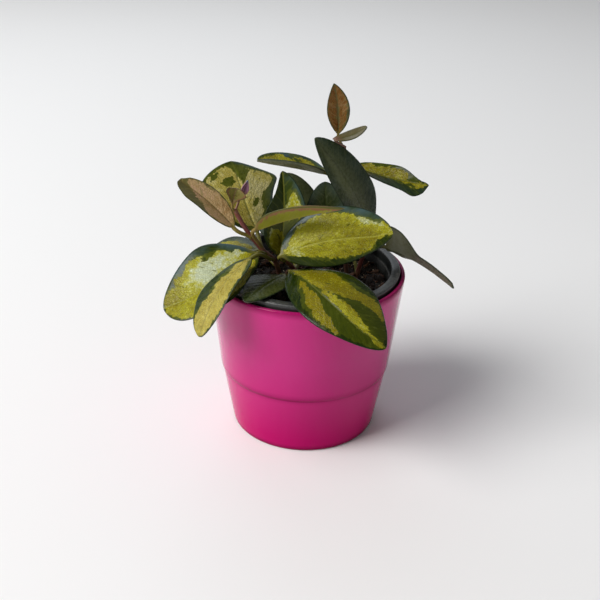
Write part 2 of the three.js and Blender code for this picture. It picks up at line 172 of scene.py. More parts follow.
def corner(radius, height, rounding, start, end, steps):
    """Points of a rounded corner of a turned profile, between two angles in degrees."""
    angles = np.radians(np.linspace(start, end, steps))
    return [(radius + rounding * math.cos(a), height + rounding * math.sin(a), 1.0) for a in angles]


def runs(low, high, steps):
    """Plain wall between two (radius, height) points, without its ends."""
    share = np.linspace(0, 1, steps + 2)[1:-1]
    return [(low[0] + (high[0] - low[0]) * s, low[1] + (high[1] - low[1]) * s, 0.0) for s in share]


def traced(radius, height, points):
    """Points of a profile, given from a place on it as (outwards, upwards, edge)."""
    return [(radius + out, height + rise, edge) for out, rise, edge in points]


def turned(name, profile, segments):
    """A round piece from (radius, height, edge) points in millimetres, edge being 1 on an edge."""
    radius, height, edge = np.array(profile).T
    angle = np.linspace(0, 2 * math.pi, segments, endpoint=False)
    x, y = radius[:, None] * np.cos(angle), radius[:, None] * np.sin(angle)
    rings = np.stack([x, y, height[:, None] + 0 * angle], -1) / 1000
    ends = [np.array((0, 0, height[at])) / 1000 for at in (0, -1)]
    return skin(name, rings, *ends, edge=edge[:, None])


POT_HEIGHT, RIM_RADIUS, LIP_ROUNDING = 121.0, 70.0, 1.5
WAIST_HEIGHT, WAIST_RADIUS = 49.5, 62.2
STEP_HEIGHT, STEP_RADIUS = 47.0, 61.2
FOOT_RADIUS, FOOT_ROUNDING = 53.4, 2.0
POT_WALL, POT_FLOOR, FLOOR_ROUNDING = 4.0, 5.0, 3.0
UNDERSIDE_FLAT, FLOOR_FLAT = 40.0, 20.0
STEP = [(-0.05, -0.7, 0.3), (0.0, -0.1, 0.9), (0.15, 0.3, 1.0), (0.55, 0.9, 0.8), (0.85, 1.5, 0.8),
        (1.0, 2.2, 0.5)]
pot_outside = (
    [(UNDERSIDE_FLAT, 0.0, 0.0)]
    + corner(FOOT_RADIUS - FOOT_ROUNDING, FOOT_ROUNDING, FOOT_ROUNDING, -90, -10, 7)
    + runs((FOOT_RADIUS, FOOT_ROUNDING), (STEP_RADIUS - 0.1, STEP_HEIGHT - 1), 14)
    + traced(STEP_RADIUS, STEP_HEIGHT, STEP)
    + runs((WAIST_RADIUS, WAIST_HEIGHT), (RIM_RADIUS, POT_HEIGHT - 2.5), 20)
    + corner(RIM_RADIUS - LIP_ROUNDING, POT_HEIGHT - LIP_ROUNDING, LIP_ROUNDING, 0, 180, 13)
)
inner_waist = (WAIST_RADIUS - POT_WALL, WAIST_HEIGHT)
inner_foot = (FOOT_RADIUS - POT_WALL, POT_FLOOR + FLOOR_ROUNDING)
pot_inside = (
    runs((RIM_RADIUS - 2 * LIP_ROUNDING, POT_HEIGHT - 2), inner_waist, 10)
    + runs(inner_waist, inner_foot, 8)
    + corner(inner_foot[0] - FLOOR_ROUNDING, inner_foot[1], FLOOR_ROUNDING, 0, -90, 6)
    + [(FLOOR_FLAT, POT_FLOOR, 0.0)]
)
cover_pot = turned("glazed_cover_pot", pot_outside + pot_inside, 160)


def new_group(name, takes, gives):
    """An empty node group. takes holds (socket, kind, value) and gives (socket, kind)."""
    made = bpy.data.node_groups.new(name, "ShaderNodeTree")
    for label, kind, value in takes:
        socket = made.interface.new_socket(label, in_out="INPUT", socket_type="NodeSocket" + kind)
        socket.default_value = value
    for label, kind in gives:
        made.interface.new_socket(label, in_out="OUTPUT", socket_type="NodeSocket" + kind)
    return made, made.nodes.new("NodeGroupInput").outputs, made.nodes.new("NodeGroupOutput").inputs


def placed(tree, group, **values):
    """A node group set in a material, with each of its inputs joined or given a value."""
    return put(tree, "Group", *values.items(), node_tree=group).outputs


def maths(tree, operation, *values, clamp=False):
    """One step of arithmetic on sockets and numbers."""
    made = put(tree, "Math", *enumerate(values), operation=operation, use_clamp=clamp)
    return made.outputs[0]


def scaled(tree, value, slope, start):
    """value times slope, plus start."""
    return maths(tree, "ADD", maths(tree, "MULTIPLY", value, slope), start)


def rest_of(tree, value):
    """What is left of 1 without value."""
    return maths(tree, "SUBTRACT", 1.0, value)


def noise(tree, place, scale, detail):
    """A cloudy value around a half."""
    return put(tree, "TexNoise", ("Vector", place), ("Scale", scale), ("Detail", detail)).outputs["Fac"]


def mark(tree, label):
    """The value that a mesh holds at its points under a name."""
    return put(tree, "Attribute", attribute_name=label).outputs["Fac"]


def own_place(tree):
    """Where a point lies on its own piece."""
    return put(tree, "TexCoord").outputs["Object"]


def surfaced(tree, shader, colour, roughness, relief, strength, depth):
    """The colour and the roughness of a finish, and its relief with a depth in metres."""
    bump = put(tree, "Bump", ("Strength", strength), ("Distance", depth), ("Height", relief))
    tree.links.new(colour, shader.inputs["Base Color"])
    tree.links.new(roughness, shader.inputs["Roughness"])
    tree.links.new(bump.outputs["Normal"], shader.inputs["Normal"])


uneven, takes, gives = new_group(
    "uneven_coat",
    [("Size", "Float", 30.0), ("Stretch", "Float", 1.0), ("Seed", "Float", 0.0)],
    [("Cloud", "Float"), ("Grain", "Float")],
)
GRAIN_FINENESS = 22.0
squeezed = put(uneven, "CombineXYZ", (0, 1.0), (1, 1.0), (2, takes["Stretch"])).outputs[0]
place = put(uneven, "VectorMath", (0, own_place(uneven)), (1, squeezed), operation="MULTIPLY").outputs[0]
moved = put(uneven, "CombineXYZ", (0, takes["Seed"])).outputs[0]
place = put(uneven, "VectorMath", (0, place), (1, moved), operation="ADD").outputs[0]
grain_size = maths(uneven, "MULTIPLY", takes["Size"], GRAIN_FINENESS)
uneven.links.new(noise(uneven, place, takes["Size"], 3.0), gives["Cloud"])
uneven.links.new(noise(uneven, place, grain_size, 2.0), gives["Grain"])

# Dust lies on what faces up, in drifts made of specks. On the black pot the same mask also paints a sheen on
# the flange's top.
dust_and_sheen_nodes, takes, gives = new_group(
    "settled_dust_and_sheen",
    [("Amount", "Float", 0.5), ("Size", "Float", 400.0)],
    [("Dust And Sheen", "Float")],
)
facing = put(dust_and_sheen_nodes, "SeparateXYZ", (0, put(dust_and_sheen_nodes, "NewGeometry").outputs["Normal"])).outputs["Z"]
place = own_place(dust_and_sheen_nodes)
specks = between(dust_and_sheen_nodes, noise(dust_and_sheen_nodes, place, takes["Size"], 4.0), 0.42, 0.72)
drifts = between(dust_and_sheen_nodes, noise(dust_and_sheen_nodes, place, 45.0, 3.0), 0.3, 0.7)
thick = maths(dust_and_sheen_nodes, "MULTIPLY", specks, between(dust_and_sheen_nodes, facing, 0.1, 0.95))
thick = maths(dust_and_sheen_nodes, "MULTIPLY", thick, drifts)
dust_and_sheen_nodes.links.new(maths(dust_and_sheen_nodes, "MULTIPLY", thick, takes["Amount"], clamp=True), gives["Dust And Sheen"])

MAGENTA, LIGHT_MAGENTA = (0.52, 0.012, 0.18, 1), (0.6, 0.018, 0.22, 1)
PAINTED_DARK_FOOT_MAGENTA, POOLED_GLAZE_AND_SHADE = (0.47, 0.002, 0.125, 1), (0.2, 0.001, 0.05, 1)
PINKISH_DUST = (0.55, 0.42, 0.42, 1)
glaze, tree, shader = new_finish(
    "magenta_glaze", Specular_IOR_Level=0.06, Coat_Roughness=0.04, Coat_IOR=1.45, IOR=1.5
)
coat = placed(tree, uneven, Size=26.0, Stretch=0.5, Seed=3.0)
height = put(tree, "SeparateXYZ", (0, own_place(tree))).outputs["Z"]
depth = mixed(tree, coat["Cloud"], MAGENTA, LIGHT_MAGENTA)
# Below the step the magenta is painted deeper towards the foot: a painted dark reflection in the lower glaze.
depth = mixed(tree, between(tree, height, 0.01, 0.075), PAINTED_DARK_FOOT_MAGENTA, depth)
# The edges take a deeper colour: partly glaze gathered there, partly painted shade in the crease of the step.
pooled_and_shaded = maths(tree, "MULTIPLY", mark(tree, "edge"), between(tree, coat["Cloud"], -0.2, 0.6))
depth = mixed(tree, maths(tree, "MULTIPLY", pooled_and_shaded, 0.8), depth, POOLED_GLAZE_AND_SHADE)
dust_and_sheen = placed(tree, dust_and_sheen_nodes, Amount=0.12, Size=700.0)["Dust And Sheen"]
depth = mixed(tree, dust_and_sheen, depth, PINKISH_DUST)
rough = scaled(tree, coat["Grain"], 0.12, 0.12)
full = maths(tree, "MULTIPLY", between(tree, height, 0.01, 0.08), 0.75)
full = maths(tree, "MULTIPLY", full, rest_of(tree, pooled_and_shaded), clamp=True)
tree.links.new(full, shader.inputs["Coat Weight"])
surfaced(tree, shader, depth, rough, coat["Cloud"], 0.35, 0.0012)
cover_pot.data.materials.append(glaze)
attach(cover_pot, "root")
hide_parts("cover_pot")


# The nursery pot: a thin injection-moulded pot in black plastic, standing loose in the cover pot. Its flat
# flange turns down in a short skirt, and a stacking ledge runs round inside below the mouth.
FLANGE_HEIGHT, FLANGE_RADIUS = 124.3, 66.2
NURSERY_FOOT, NURSERY_UNDERSIDE, NURSERY_FLOOR = 46.1, 5.3, 6.9
LEDGE_HEIGHT, LEDGE_RADIUS = 117.4, 59.2
NECK, INNER_LIP, OVER_LEDGE = (61.2, 122.6), (60.0, 123.2), (59.3, 117.7)
UNDER_LEDGE, INNER_FOOT, INNER_CORNER, INNER_FLAT = (58.35, 116.2), (44.3, 7.6), 43.6, 20.0
DRAINS, DRAIN_RADIUS, DRAIN_CIRCLE, DRILL_LENGTH, DRILL_MIDDLE = 6, 0.004, 0.032, 0.006, 0.0061
SKIRT = [(-4.7, -1.2, 0.2), (-2.8, -1.1, 0.0), (-1.2, -1.1, 0.0), (-1.3, -3.3, 0.0), (-1.6, -7.3, 0.4),
         (-1.45, -7.5, 1.0), (-0.7, -7.5, 1.0), (-0.5, -7.3, 0.8), (-0.2, -3.8, 0.1), (0.0, -0.9, 0.7)]
FLANGE = [(-0.25, -0.35, 1.0), (-0.8, -0.02, 0.8), (-1.6, 0.0, 0.1), (-3.6, 0.0, 0.0), (-5.3, 0.0, 0.3),
          (-5.9, -0.2, 1.0), (-6.15, -0.7, 0.7)]
LEDGE = [(0.0, 0.0, 0.9), (-0.5, -0.3, 1.0), (-0.8, -0.7, 0.6)]
foot_edge = [(-16.1, 0.0, 0.0), (-0.6, 0.0, 1.0), (0.0, 0.6, 0.6)]
nursery_profile = (
    traced(NURSERY_FOOT, NURSERY_UNDERSIDE, foot_edge)
    + runs((NURSERY_FOOT, 6.0), NECK, 16)
    + traced(FLANGE_RADIUS, FLANGE_HEIGHT, SKIRT + FLANGE)
    + runs(INNER_LIP, OVER_LEDGE, 4)
    + traced(LEDGE_RADIUS, LEDGE_HEIGHT, LEDGE)
    + runs(UNDER_LEDGE, INNER_FOOT, 14)
    + [(INNER_CORNER, NURSERY_FLOOR, 0.0), (INNER_FLAT, NURSERY_FLOOR, 0.0)]
)
nursery_pot = turned("black_nursery_pot", nursery_profile, 144)
drills = bmesh.new()
for number in range(DRAINS):
    spot = Matrix.Rotation(number * 2 * math.pi / DRAINS, 4, "Z")
    bmesh.ops.create_cone(
        drills, cap_ends=True, segments=24, radius1=DRAIN_RADIUS, radius2=DRAIN_RADIUS, depth=DRILL_LENGTH,
        matrix=spot @ Matrix.Translation((DRAIN_CIRCLE, 0, DRILL_MIDDLE)),
    )
drill_mesh = bpy.data.meshes.new("drills")
drills.to_mesh(drill_mesh)
drills.free()
drill = bpy.data.objects.new("drills", drill_mesh)
bpy.context.scene.collection.objects.link(drill)
holes = nursery_pot.modifiers.new("drain_holes", "BOOLEAN")
holes.object = drill
holes.solver = "EXACT"
bpy.context.view_layer.update()
cut = bpy.data.meshes.new_from_object(nursery_pot.evaluated_get(bpy.context.evaluated_depsgraph_get()))
nursery_pot.modifiers.clear()
nursery_pot.data = cut
bpy.data.objects.remove(drill)

DEEP_BLACK, WORN_BLACK, SCUFFED = (0.014, 0.016, 0.015, 1), (0.026, 0.029, 0.028, 1), (0.12, 0.12, 0.12, 1)
GREY_DUST_AND_SHEEN = (0.30, 0.28, 0.26, 1)
plastic, tree, shader = new_finish("black_plastic", IOR=1.49)
coat = placed(tree, uneven, Size=60.0, Stretch=1.0, Seed=9.0)
black = mixed(tree, coat["Cloud"], DEEP_BLACK, WORN_BLACK)
worn = maths(tree, "MULTIPLY", mark(tree, "edge"), between(tree, coat["Grain"], 0.35, 0.75))
black = mixed(tree, maths(tree, "MULTIPLY", worn, 0.5), black, SCUFFED)
# Lighter grey on what faces up: partly dust, partly a painted sheen on the flange's top.
dust_and_sheen = placed(tree, dust_and_sheen_nodes, Amount=0.55, Size=520.0)["Dust And Sheen"]
black = mixed(tree, dust_and_sheen, black, GREY_DUST_AND_SHEEN)
rough = maths(tree, "ADD", scaled(tree, coat["Grain"], 0.25, 0.24), maths(tree, "MULTIPLY", dust_and_sheen, 0.3))
surfaced(tree, shader, black, rough, coat["Grain"], 0.3, 0.0003)
nursery_pot.data.materials.clear()
nursery_pot.data.materials.append(plastic)
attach(nursery_pot, "root")
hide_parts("nursery_pot")


# The potting mix: dark damp peat and coir pressed down by hand, with bark chips and pale crumbs lying on
# it and half sunk into it. It is one loose body that fills the nursery pot around the stems.
def unit(vectors):
    """Vectors of the same directions with a length of 1."""
    return vectors / np.linalg.norm(vectors, axis=-1, keepdims=True)


SOIL_TOP, SOIL_FLOOR, SOIL_CROWN, SOIL_REACH = 0.1122, 0.0072, 0.0008, 0.0573
SOIL_FOOT, SOIL_FOOT_LIFT = [0.030, 0.0435, 0.0443], [SOIL_FLOOR, SOIL_FLOOR, 0.0085]
SOIL_SIDE, SOIL_SIDE_LIFT, SIDE_RINGS = (0.0462, 0.0574), (0.022, 0.1095), 8
GRIT, RINGS, STEPS, CROWN_WIDTH, RIM_DIP = 0.00026, 56, 200, 0.036, 0.0009
MOUNDS, MOUND_REACH, MOUND_RISE, MOUND_WIDTH = 26, 0.052, (-0.0011, 0.0016), (0.006, 0.014)
random = np.random.default_rng(41)
mounds = random.uniform(-1, 1, (MOUNDS, 2)) * MOUND_REACH
mound_height = random.uniform(*MOUND_RISE, MOUNDS)
mound_width = random.uniform(*MOUND_WIDTH, MOUNDS)


def soil_height(x, y):
    """The lie of the soil's surface, a little higher in the middle."""
    lie = SOIL_TOP + SOIL_CROWN * np.cos(np.hypot(x, y) / CROWN_WIDTH)
    for (cx, cy), rise, wide in zip(mounds, mound_height, mound_width):
        lie = lie + rise * np.exp(-((x - cx) ** 2 + (y - cy) ** 2) / wide**2)
    return lie


around = np.linspace(0, 2 * math.pi, STEPS, endpoint=False)
top_reach = np.linspace(SOIL_REACH, 0.001, RINGS)
reach = np.concatenate([SOIL_FOOT, np.linspace(*SOIL_SIDE, SIDE_RINGS), top_reach])
lift = np.concatenate([SOIL_FOOT_LIFT, np.linspace(*SOIL_SIDE_LIFT, SIDE_RINGS), np.zeros(RINGS)])
x, y = reach[:, None] * np.cos(around), reach[:, None] * np.sin(around)
grit = random.normal(0, GRIT, (RINGS, STEPS))
z = np.broadcast_to(lift[:, None], x.shape).copy()
z[-RINGS:] = soil_height(x[-RINGS:], y[-RINGS:]) + grit
z[-RINGS] -= RIM_DIP
soil_ends = (0, 0, SOIL_FLOOR), (0, 0, soil_height(0, 0))
soil_body = skin("potting_mix", np.stack([x, y, z], -1), *soil_ends, tone=0.0)


def ball(subdivisions):
    """The points and triangles of a round ball."""
    made = bmesh.new()
    bmesh.ops.create_icosphere(made, subdivisions=subdivisions, radius=1.0)
    points = np.array([point.co for point in made.verts])
    faces = np.array([[point.index for point in face.verts] for face in made.faces])
    made.free()
    return points, faces


BREAKS, BREAK_DEPTH, LITTER_REACH = 5, 0.62, 0.0555


def broken_lumps(kind, amount, small, large, flat, long, lean, subdivisions):
    """Chips of one kind lying on the soil: balls with flat breaks, squeezed, turned and half sunk. Each
    chip keeps one shade."""
    round_points, faces = ball(subdivisions)
    points, triangles, shades = [], [], []
    for number in range(amount):
        far, turn = LITTER_REACH * math.sqrt(random.uniform(0, 1)), random.uniform(0, 2 * math.pi)
        size = small + (large - small) * random.uniform(0, 1) ** 2.2
        spot = round_points.copy()
        for face in unit(random.normal(0, 1, (BREAKS, 3))):
            spot -= np.maximum(spot @ face - BREAK_DEPTH, 0)[:, None] * face
        spot *= size * np.array((random.uniform(*long), random.uniform(0.7, 1.0), random.uniform(*flat)))
        px, py = far * math.cos(turn), far * math.sin(turn)
        pose = (
            Matrix.Rotation(random.uniform(0, 2 * math.pi), 3, "Z")
            @ Matrix.Rotation(random.normal(0, lean), 3, "X")
            @ Matrix.Rotation(random.normal(0, lean), 3, "Y")
        )
        sunk = soil_height(px, py) + size * random.uniform(0.05, 0.45)
        points.append(spot @ np.array(pose).T + (px, py, sunk))
        triangles.append(faces + number * len(spot))
        shades.append(np.full(len(spot), kind + random.uniform(0.05, 0.9)))
    return np.concatenate(points), np.concatenate(triangles), np.concatenate(shades)


def joined(name, first, *others):
    """One mesh of a skin and of (points, triangles, tones) sets."""
    mesh = first.data
    count = len(mesh.vertices)
    points = np.empty(count * 3)
    mesh.vertices.foreach_get("co", points)
    tones = np.empty(count)
    mesh.attributes["tone"].data.foreach_get("value", tones)
    points, tones = [points.reshape(-1, 3)], [tones]
    faces = [tuple(face.vertices) for face in mesh.polygons]
    for more, triangles, shades in others:
        faces += (triangles + count).tolist()
        count += len(more)
        points.append(more)
        tones.append(shades)
    whole = bpy.data.meshes.new(name)
    whole.from_pydata(np.concatenate(points).tolist(), [], faces)
    whole.shade_smooth()
    tones = np.concatenate(tones).astype(np.float32)
    whole.attributes.new("tone", "FLOAT", "POINT").data.foreach_set("value", tones)
    first.data = whole


BARK, CRUMB, CLOD = 1.0, 2.0, 3.0
joined(
    "potting_mix",
    soil_body,
    broken_lumps(BARK, 700, 0.0010, 0.0034, (0.28, 0.5), (1.1, 2.0), 0.5, 2),
    broken_lumps(CRUMB, 520, 0.0004, 0.0011, (0.65, 0.95), (0.9, 1.2), 1.2, 1),
    broken_lumps(CLOD, 900, 0.0006, 0.0019, (0.65, 0.95), (0.9, 1.2), 1.2, 1),
)

WET_PEAT, DRY_PEAT, DRY_CLOD = (0.004, 0.003, 0.002, 1), (0.020, 0.012, 0.007, 1), (0.022, 0.012, 0.007, 1)
DARK_BARK, RED_BARK, BARK_FIBRE = (0.014, 0.006, 0.003, 1), (0.210, 0.082, 0.032, 1), (0.020, 0.009, 0.005, 1)
TAN_CRUMB, PALE_CRUMB = (0.24, 0.17, 0.10, 1), (0.62, 0.54, 0.42, 1)
soil, tree, shader = new_finish("potting_mix", IOR=1.4)
kind, place = mark(tree, "tone"), own_place(tree)
fibre, clump = noise(tree, place, 900.0, 5.0), noise(tree, place, 160.0, 4.0)
shade = maths(tree, "FRACT", kind)
colour = mixed(tree, between(tree, clump, 0.35, 0.65), WET_PEAT, DRY_PEAT)
bark = mixed(tree, between(tree, shade, 0.5, 1.0), DARK_BARK, RED_BARK)
bark = mixed(tree, between(tree, fibre, 0.45, 0.75), bark, BARK_FIBRE)
crumb, clod = mixed(tree, shade, TAN_CRUMB, PALE_CRUMB), mixed(tree, shade, WET_PEAT, DRY_CLOD)
for least, lump in (BARK, bark), (CRUMB, crumb), (CLOD, clod):
    colour = mixed(tree, maths(tree, "GREATER_THAN", kind, least - 0.01), colour, lump)
rough = between(tree, fibre, -0.9, 0.9)
surfaced(tree, shader, colour, rough, maths(tree, "ADD", fibre, clump), 0.8, 0.0006)
soil_body.data.materials.append(soil)
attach(soil_body, "root")
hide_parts("potting_soil")


# The stems: woody vines about three and a half millimetres thick, maroon where they are young, swollen at
# every node where leaves grow out, and rooted in the mix.
def smooth_route(points, count):
    """Evenly spread points along a Catmull-Rom curve, in metres, with how far along each one lies."""
    points = np.array(points, float) / 1000
    ends = np.concatenate([[2 * points[0] - points[1]], points, [2 * points[-1] - points[-2]]])
    share = np.linspace(0, len(points) - 1, count * 4)
    cell = np.minimum(share.astype(int), len(points) - 2)
    t = (share - cell)[:, None]
    a, b, c, d = (ends[cell + k] for k in range(4))
    curve = 2 * b + (c - a) * t + (2 * a - 5 * b + 4 * c - d) * t**2 + (3 * b - a - 3 * c + d) * t**3
    curve = 0.5 * curve
    length = np.concatenate([[0], np.cumsum(np.linalg.norm(np.diff(curve, axis=0), axis=1))])
    even = np.linspace(0, length[-1], count)
    return np.stack([np.interp(even, length, curve[:, k]) for k in range(3)], -1), even


# Each stem's radius and route, and the nodes on it, in millimetres
STEMS = {
    "stem_left": (1.75, [(-17, 2, 92), (-19, 0, 112), (-23, -4, 128), (-30, -9, 137), (-40, -14, 152),
                         (-46, -16, 163), (-50, -18, 172)]),
    "stem_middle": (1.75, [(-6, 6, 92), (-7, 4, 112), (-11, -4, 124), (-16, -12, 133)]),
    "stem_tall": (1.75, [(30, 6, 92), (29, 7, 112), (26, 9, 140), (25, 9, 172), (24.5, 7, 195),
                         (22.5, 4, 211.5)]),
    "stem_right": (1.65, [(35, 7, 92), (36, 6, 112), (40, 5, 130), (45, 3, 144)]),
}
NODES = {
    "stem_left": [(-19.5, 0, 115), (-22, -3, 124), (-28, -7.5, 135), (-32, -10, 140), (-39, -14, 150),
                  (-50, -18, 171)],
    "stem_middle": [(-7, 4, 116), (-8.5, 1, 119), (-13, -8, 128), (-16, -12, 132)],
    "stem_tall": [(29, 9, 125), (25, 9, 171), (22, 4, 210.5)],
    "stem_right": [(36, 6, 116), (45, 3, 143)],
}
STEM_TAPER, STEM_TIP = 0.86, (0.93, 0.75, 0.4)
NODE_LENGTH, NODE_SWELLING = 0.0021, 0.22
STEM_STEPS, STEM_SIDES, YOUNG_FROM, YOUNG_OVER = 110, 24, 0.15, 0.5
STEM_UNEVENNESS = ((3, 900, 0.035), (5, -1700, 0.02))  # (ridges round, turn along, part of the radius)

OLD_WOOD, OLD_WOOD_LIGHT = (0.060, 0.028, 0.018, 1), (0.125, 0.070, 0.040, 1)
MAROON, LIGHT_MAROON = (0.150, 0.030, 0.030, 1), (0.270, 0.080, 0.065, 1)
NODE_OLIVE = (0.22, 0.15, 0.06, 1)
bark_skin, tree, shader = new_finish("maroon_stem", IOR=1.45, Coat_Weight=0.15, Coat_Roughness=0.3)
coat = placed(tree, uneven, Size=120.0, Stretch=0.35, Seed=21.0)
old_wood = mixed(tree, coat["Cloud"], OLD_WOOD, OLD_WOOD_LIGHT)
new_wood = mixed(tree, coat["Cloud"], MAROON, LIGHT_MAROON)
colour = mixed(tree, mark(tree, "young"), old_wood, new_wood)
colour = mixed(tree, maths(tree, "MULTIPLY", mark(tree, "edge"), 0.4), colour, NODE_OLIVE)
surfaced(tree, shader, colour, scaled(tree, coat["Grain"], 0.3, 0.28), coat["Cloud"], 0.5, 0.0004)

for name, (stem_radius, points) in STEMS.items():
    route, far = smooth_route(points, STEM_STEPS)
    run = unit(np.gradient(route, axis=0))
    side = unit(np.cross(run, np.array([0.0, 1.0, 0.15])))
    top = np.cross(side, run)
    radius = np.full(len(route), stem_radius / 1000) * np.linspace(1.0, STEM_TAPER, len(route))
    swelling = np.zeros(len(route))
    for node in NODES[name]:
        gap = np.linalg.norm(route - np.array(node) / 1000, axis=1)
        swelling += np.exp(-((gap / NODE_LENGTH) ** 2))
    radius = radius * (1 + NODE_SWELLING * np.minimum(swelling, 1))
    radius[-len(STEM_TIP):] *= STEM_TIP
    angle = np.linspace(0, 2 * math.pi, STEM_SIDES, endpoint=False)
    uneven_radius = 1.0
    for ridges, turning, part in STEM_UNEVENNESS:
        uneven_radius = uneven_radius + part * np.sin(ridges * angle + turning * far[:, None])
    spread = (radius[:, None] * uneven_radius)[..., None]
    sideways = spread * np.sin(angle)[:, None] * side[:, None]
    rings = route[:, None] + spread * np.cos(angle)[:, None] * top[:, None] + sideways
    grown = np.clip((far / far[-1] - YOUNG_FROM) / YOUNG_OVER, 0, 1)
    marks = {"young": grown[:, None], "edge": swelling[:, None]}
    stem = skin(name + "_bark", rings[:, ::-1], route[0], route[-1], **marks)
    stem.data.materials.append(bark_skin)
    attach(stem, "root")
    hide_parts(name)
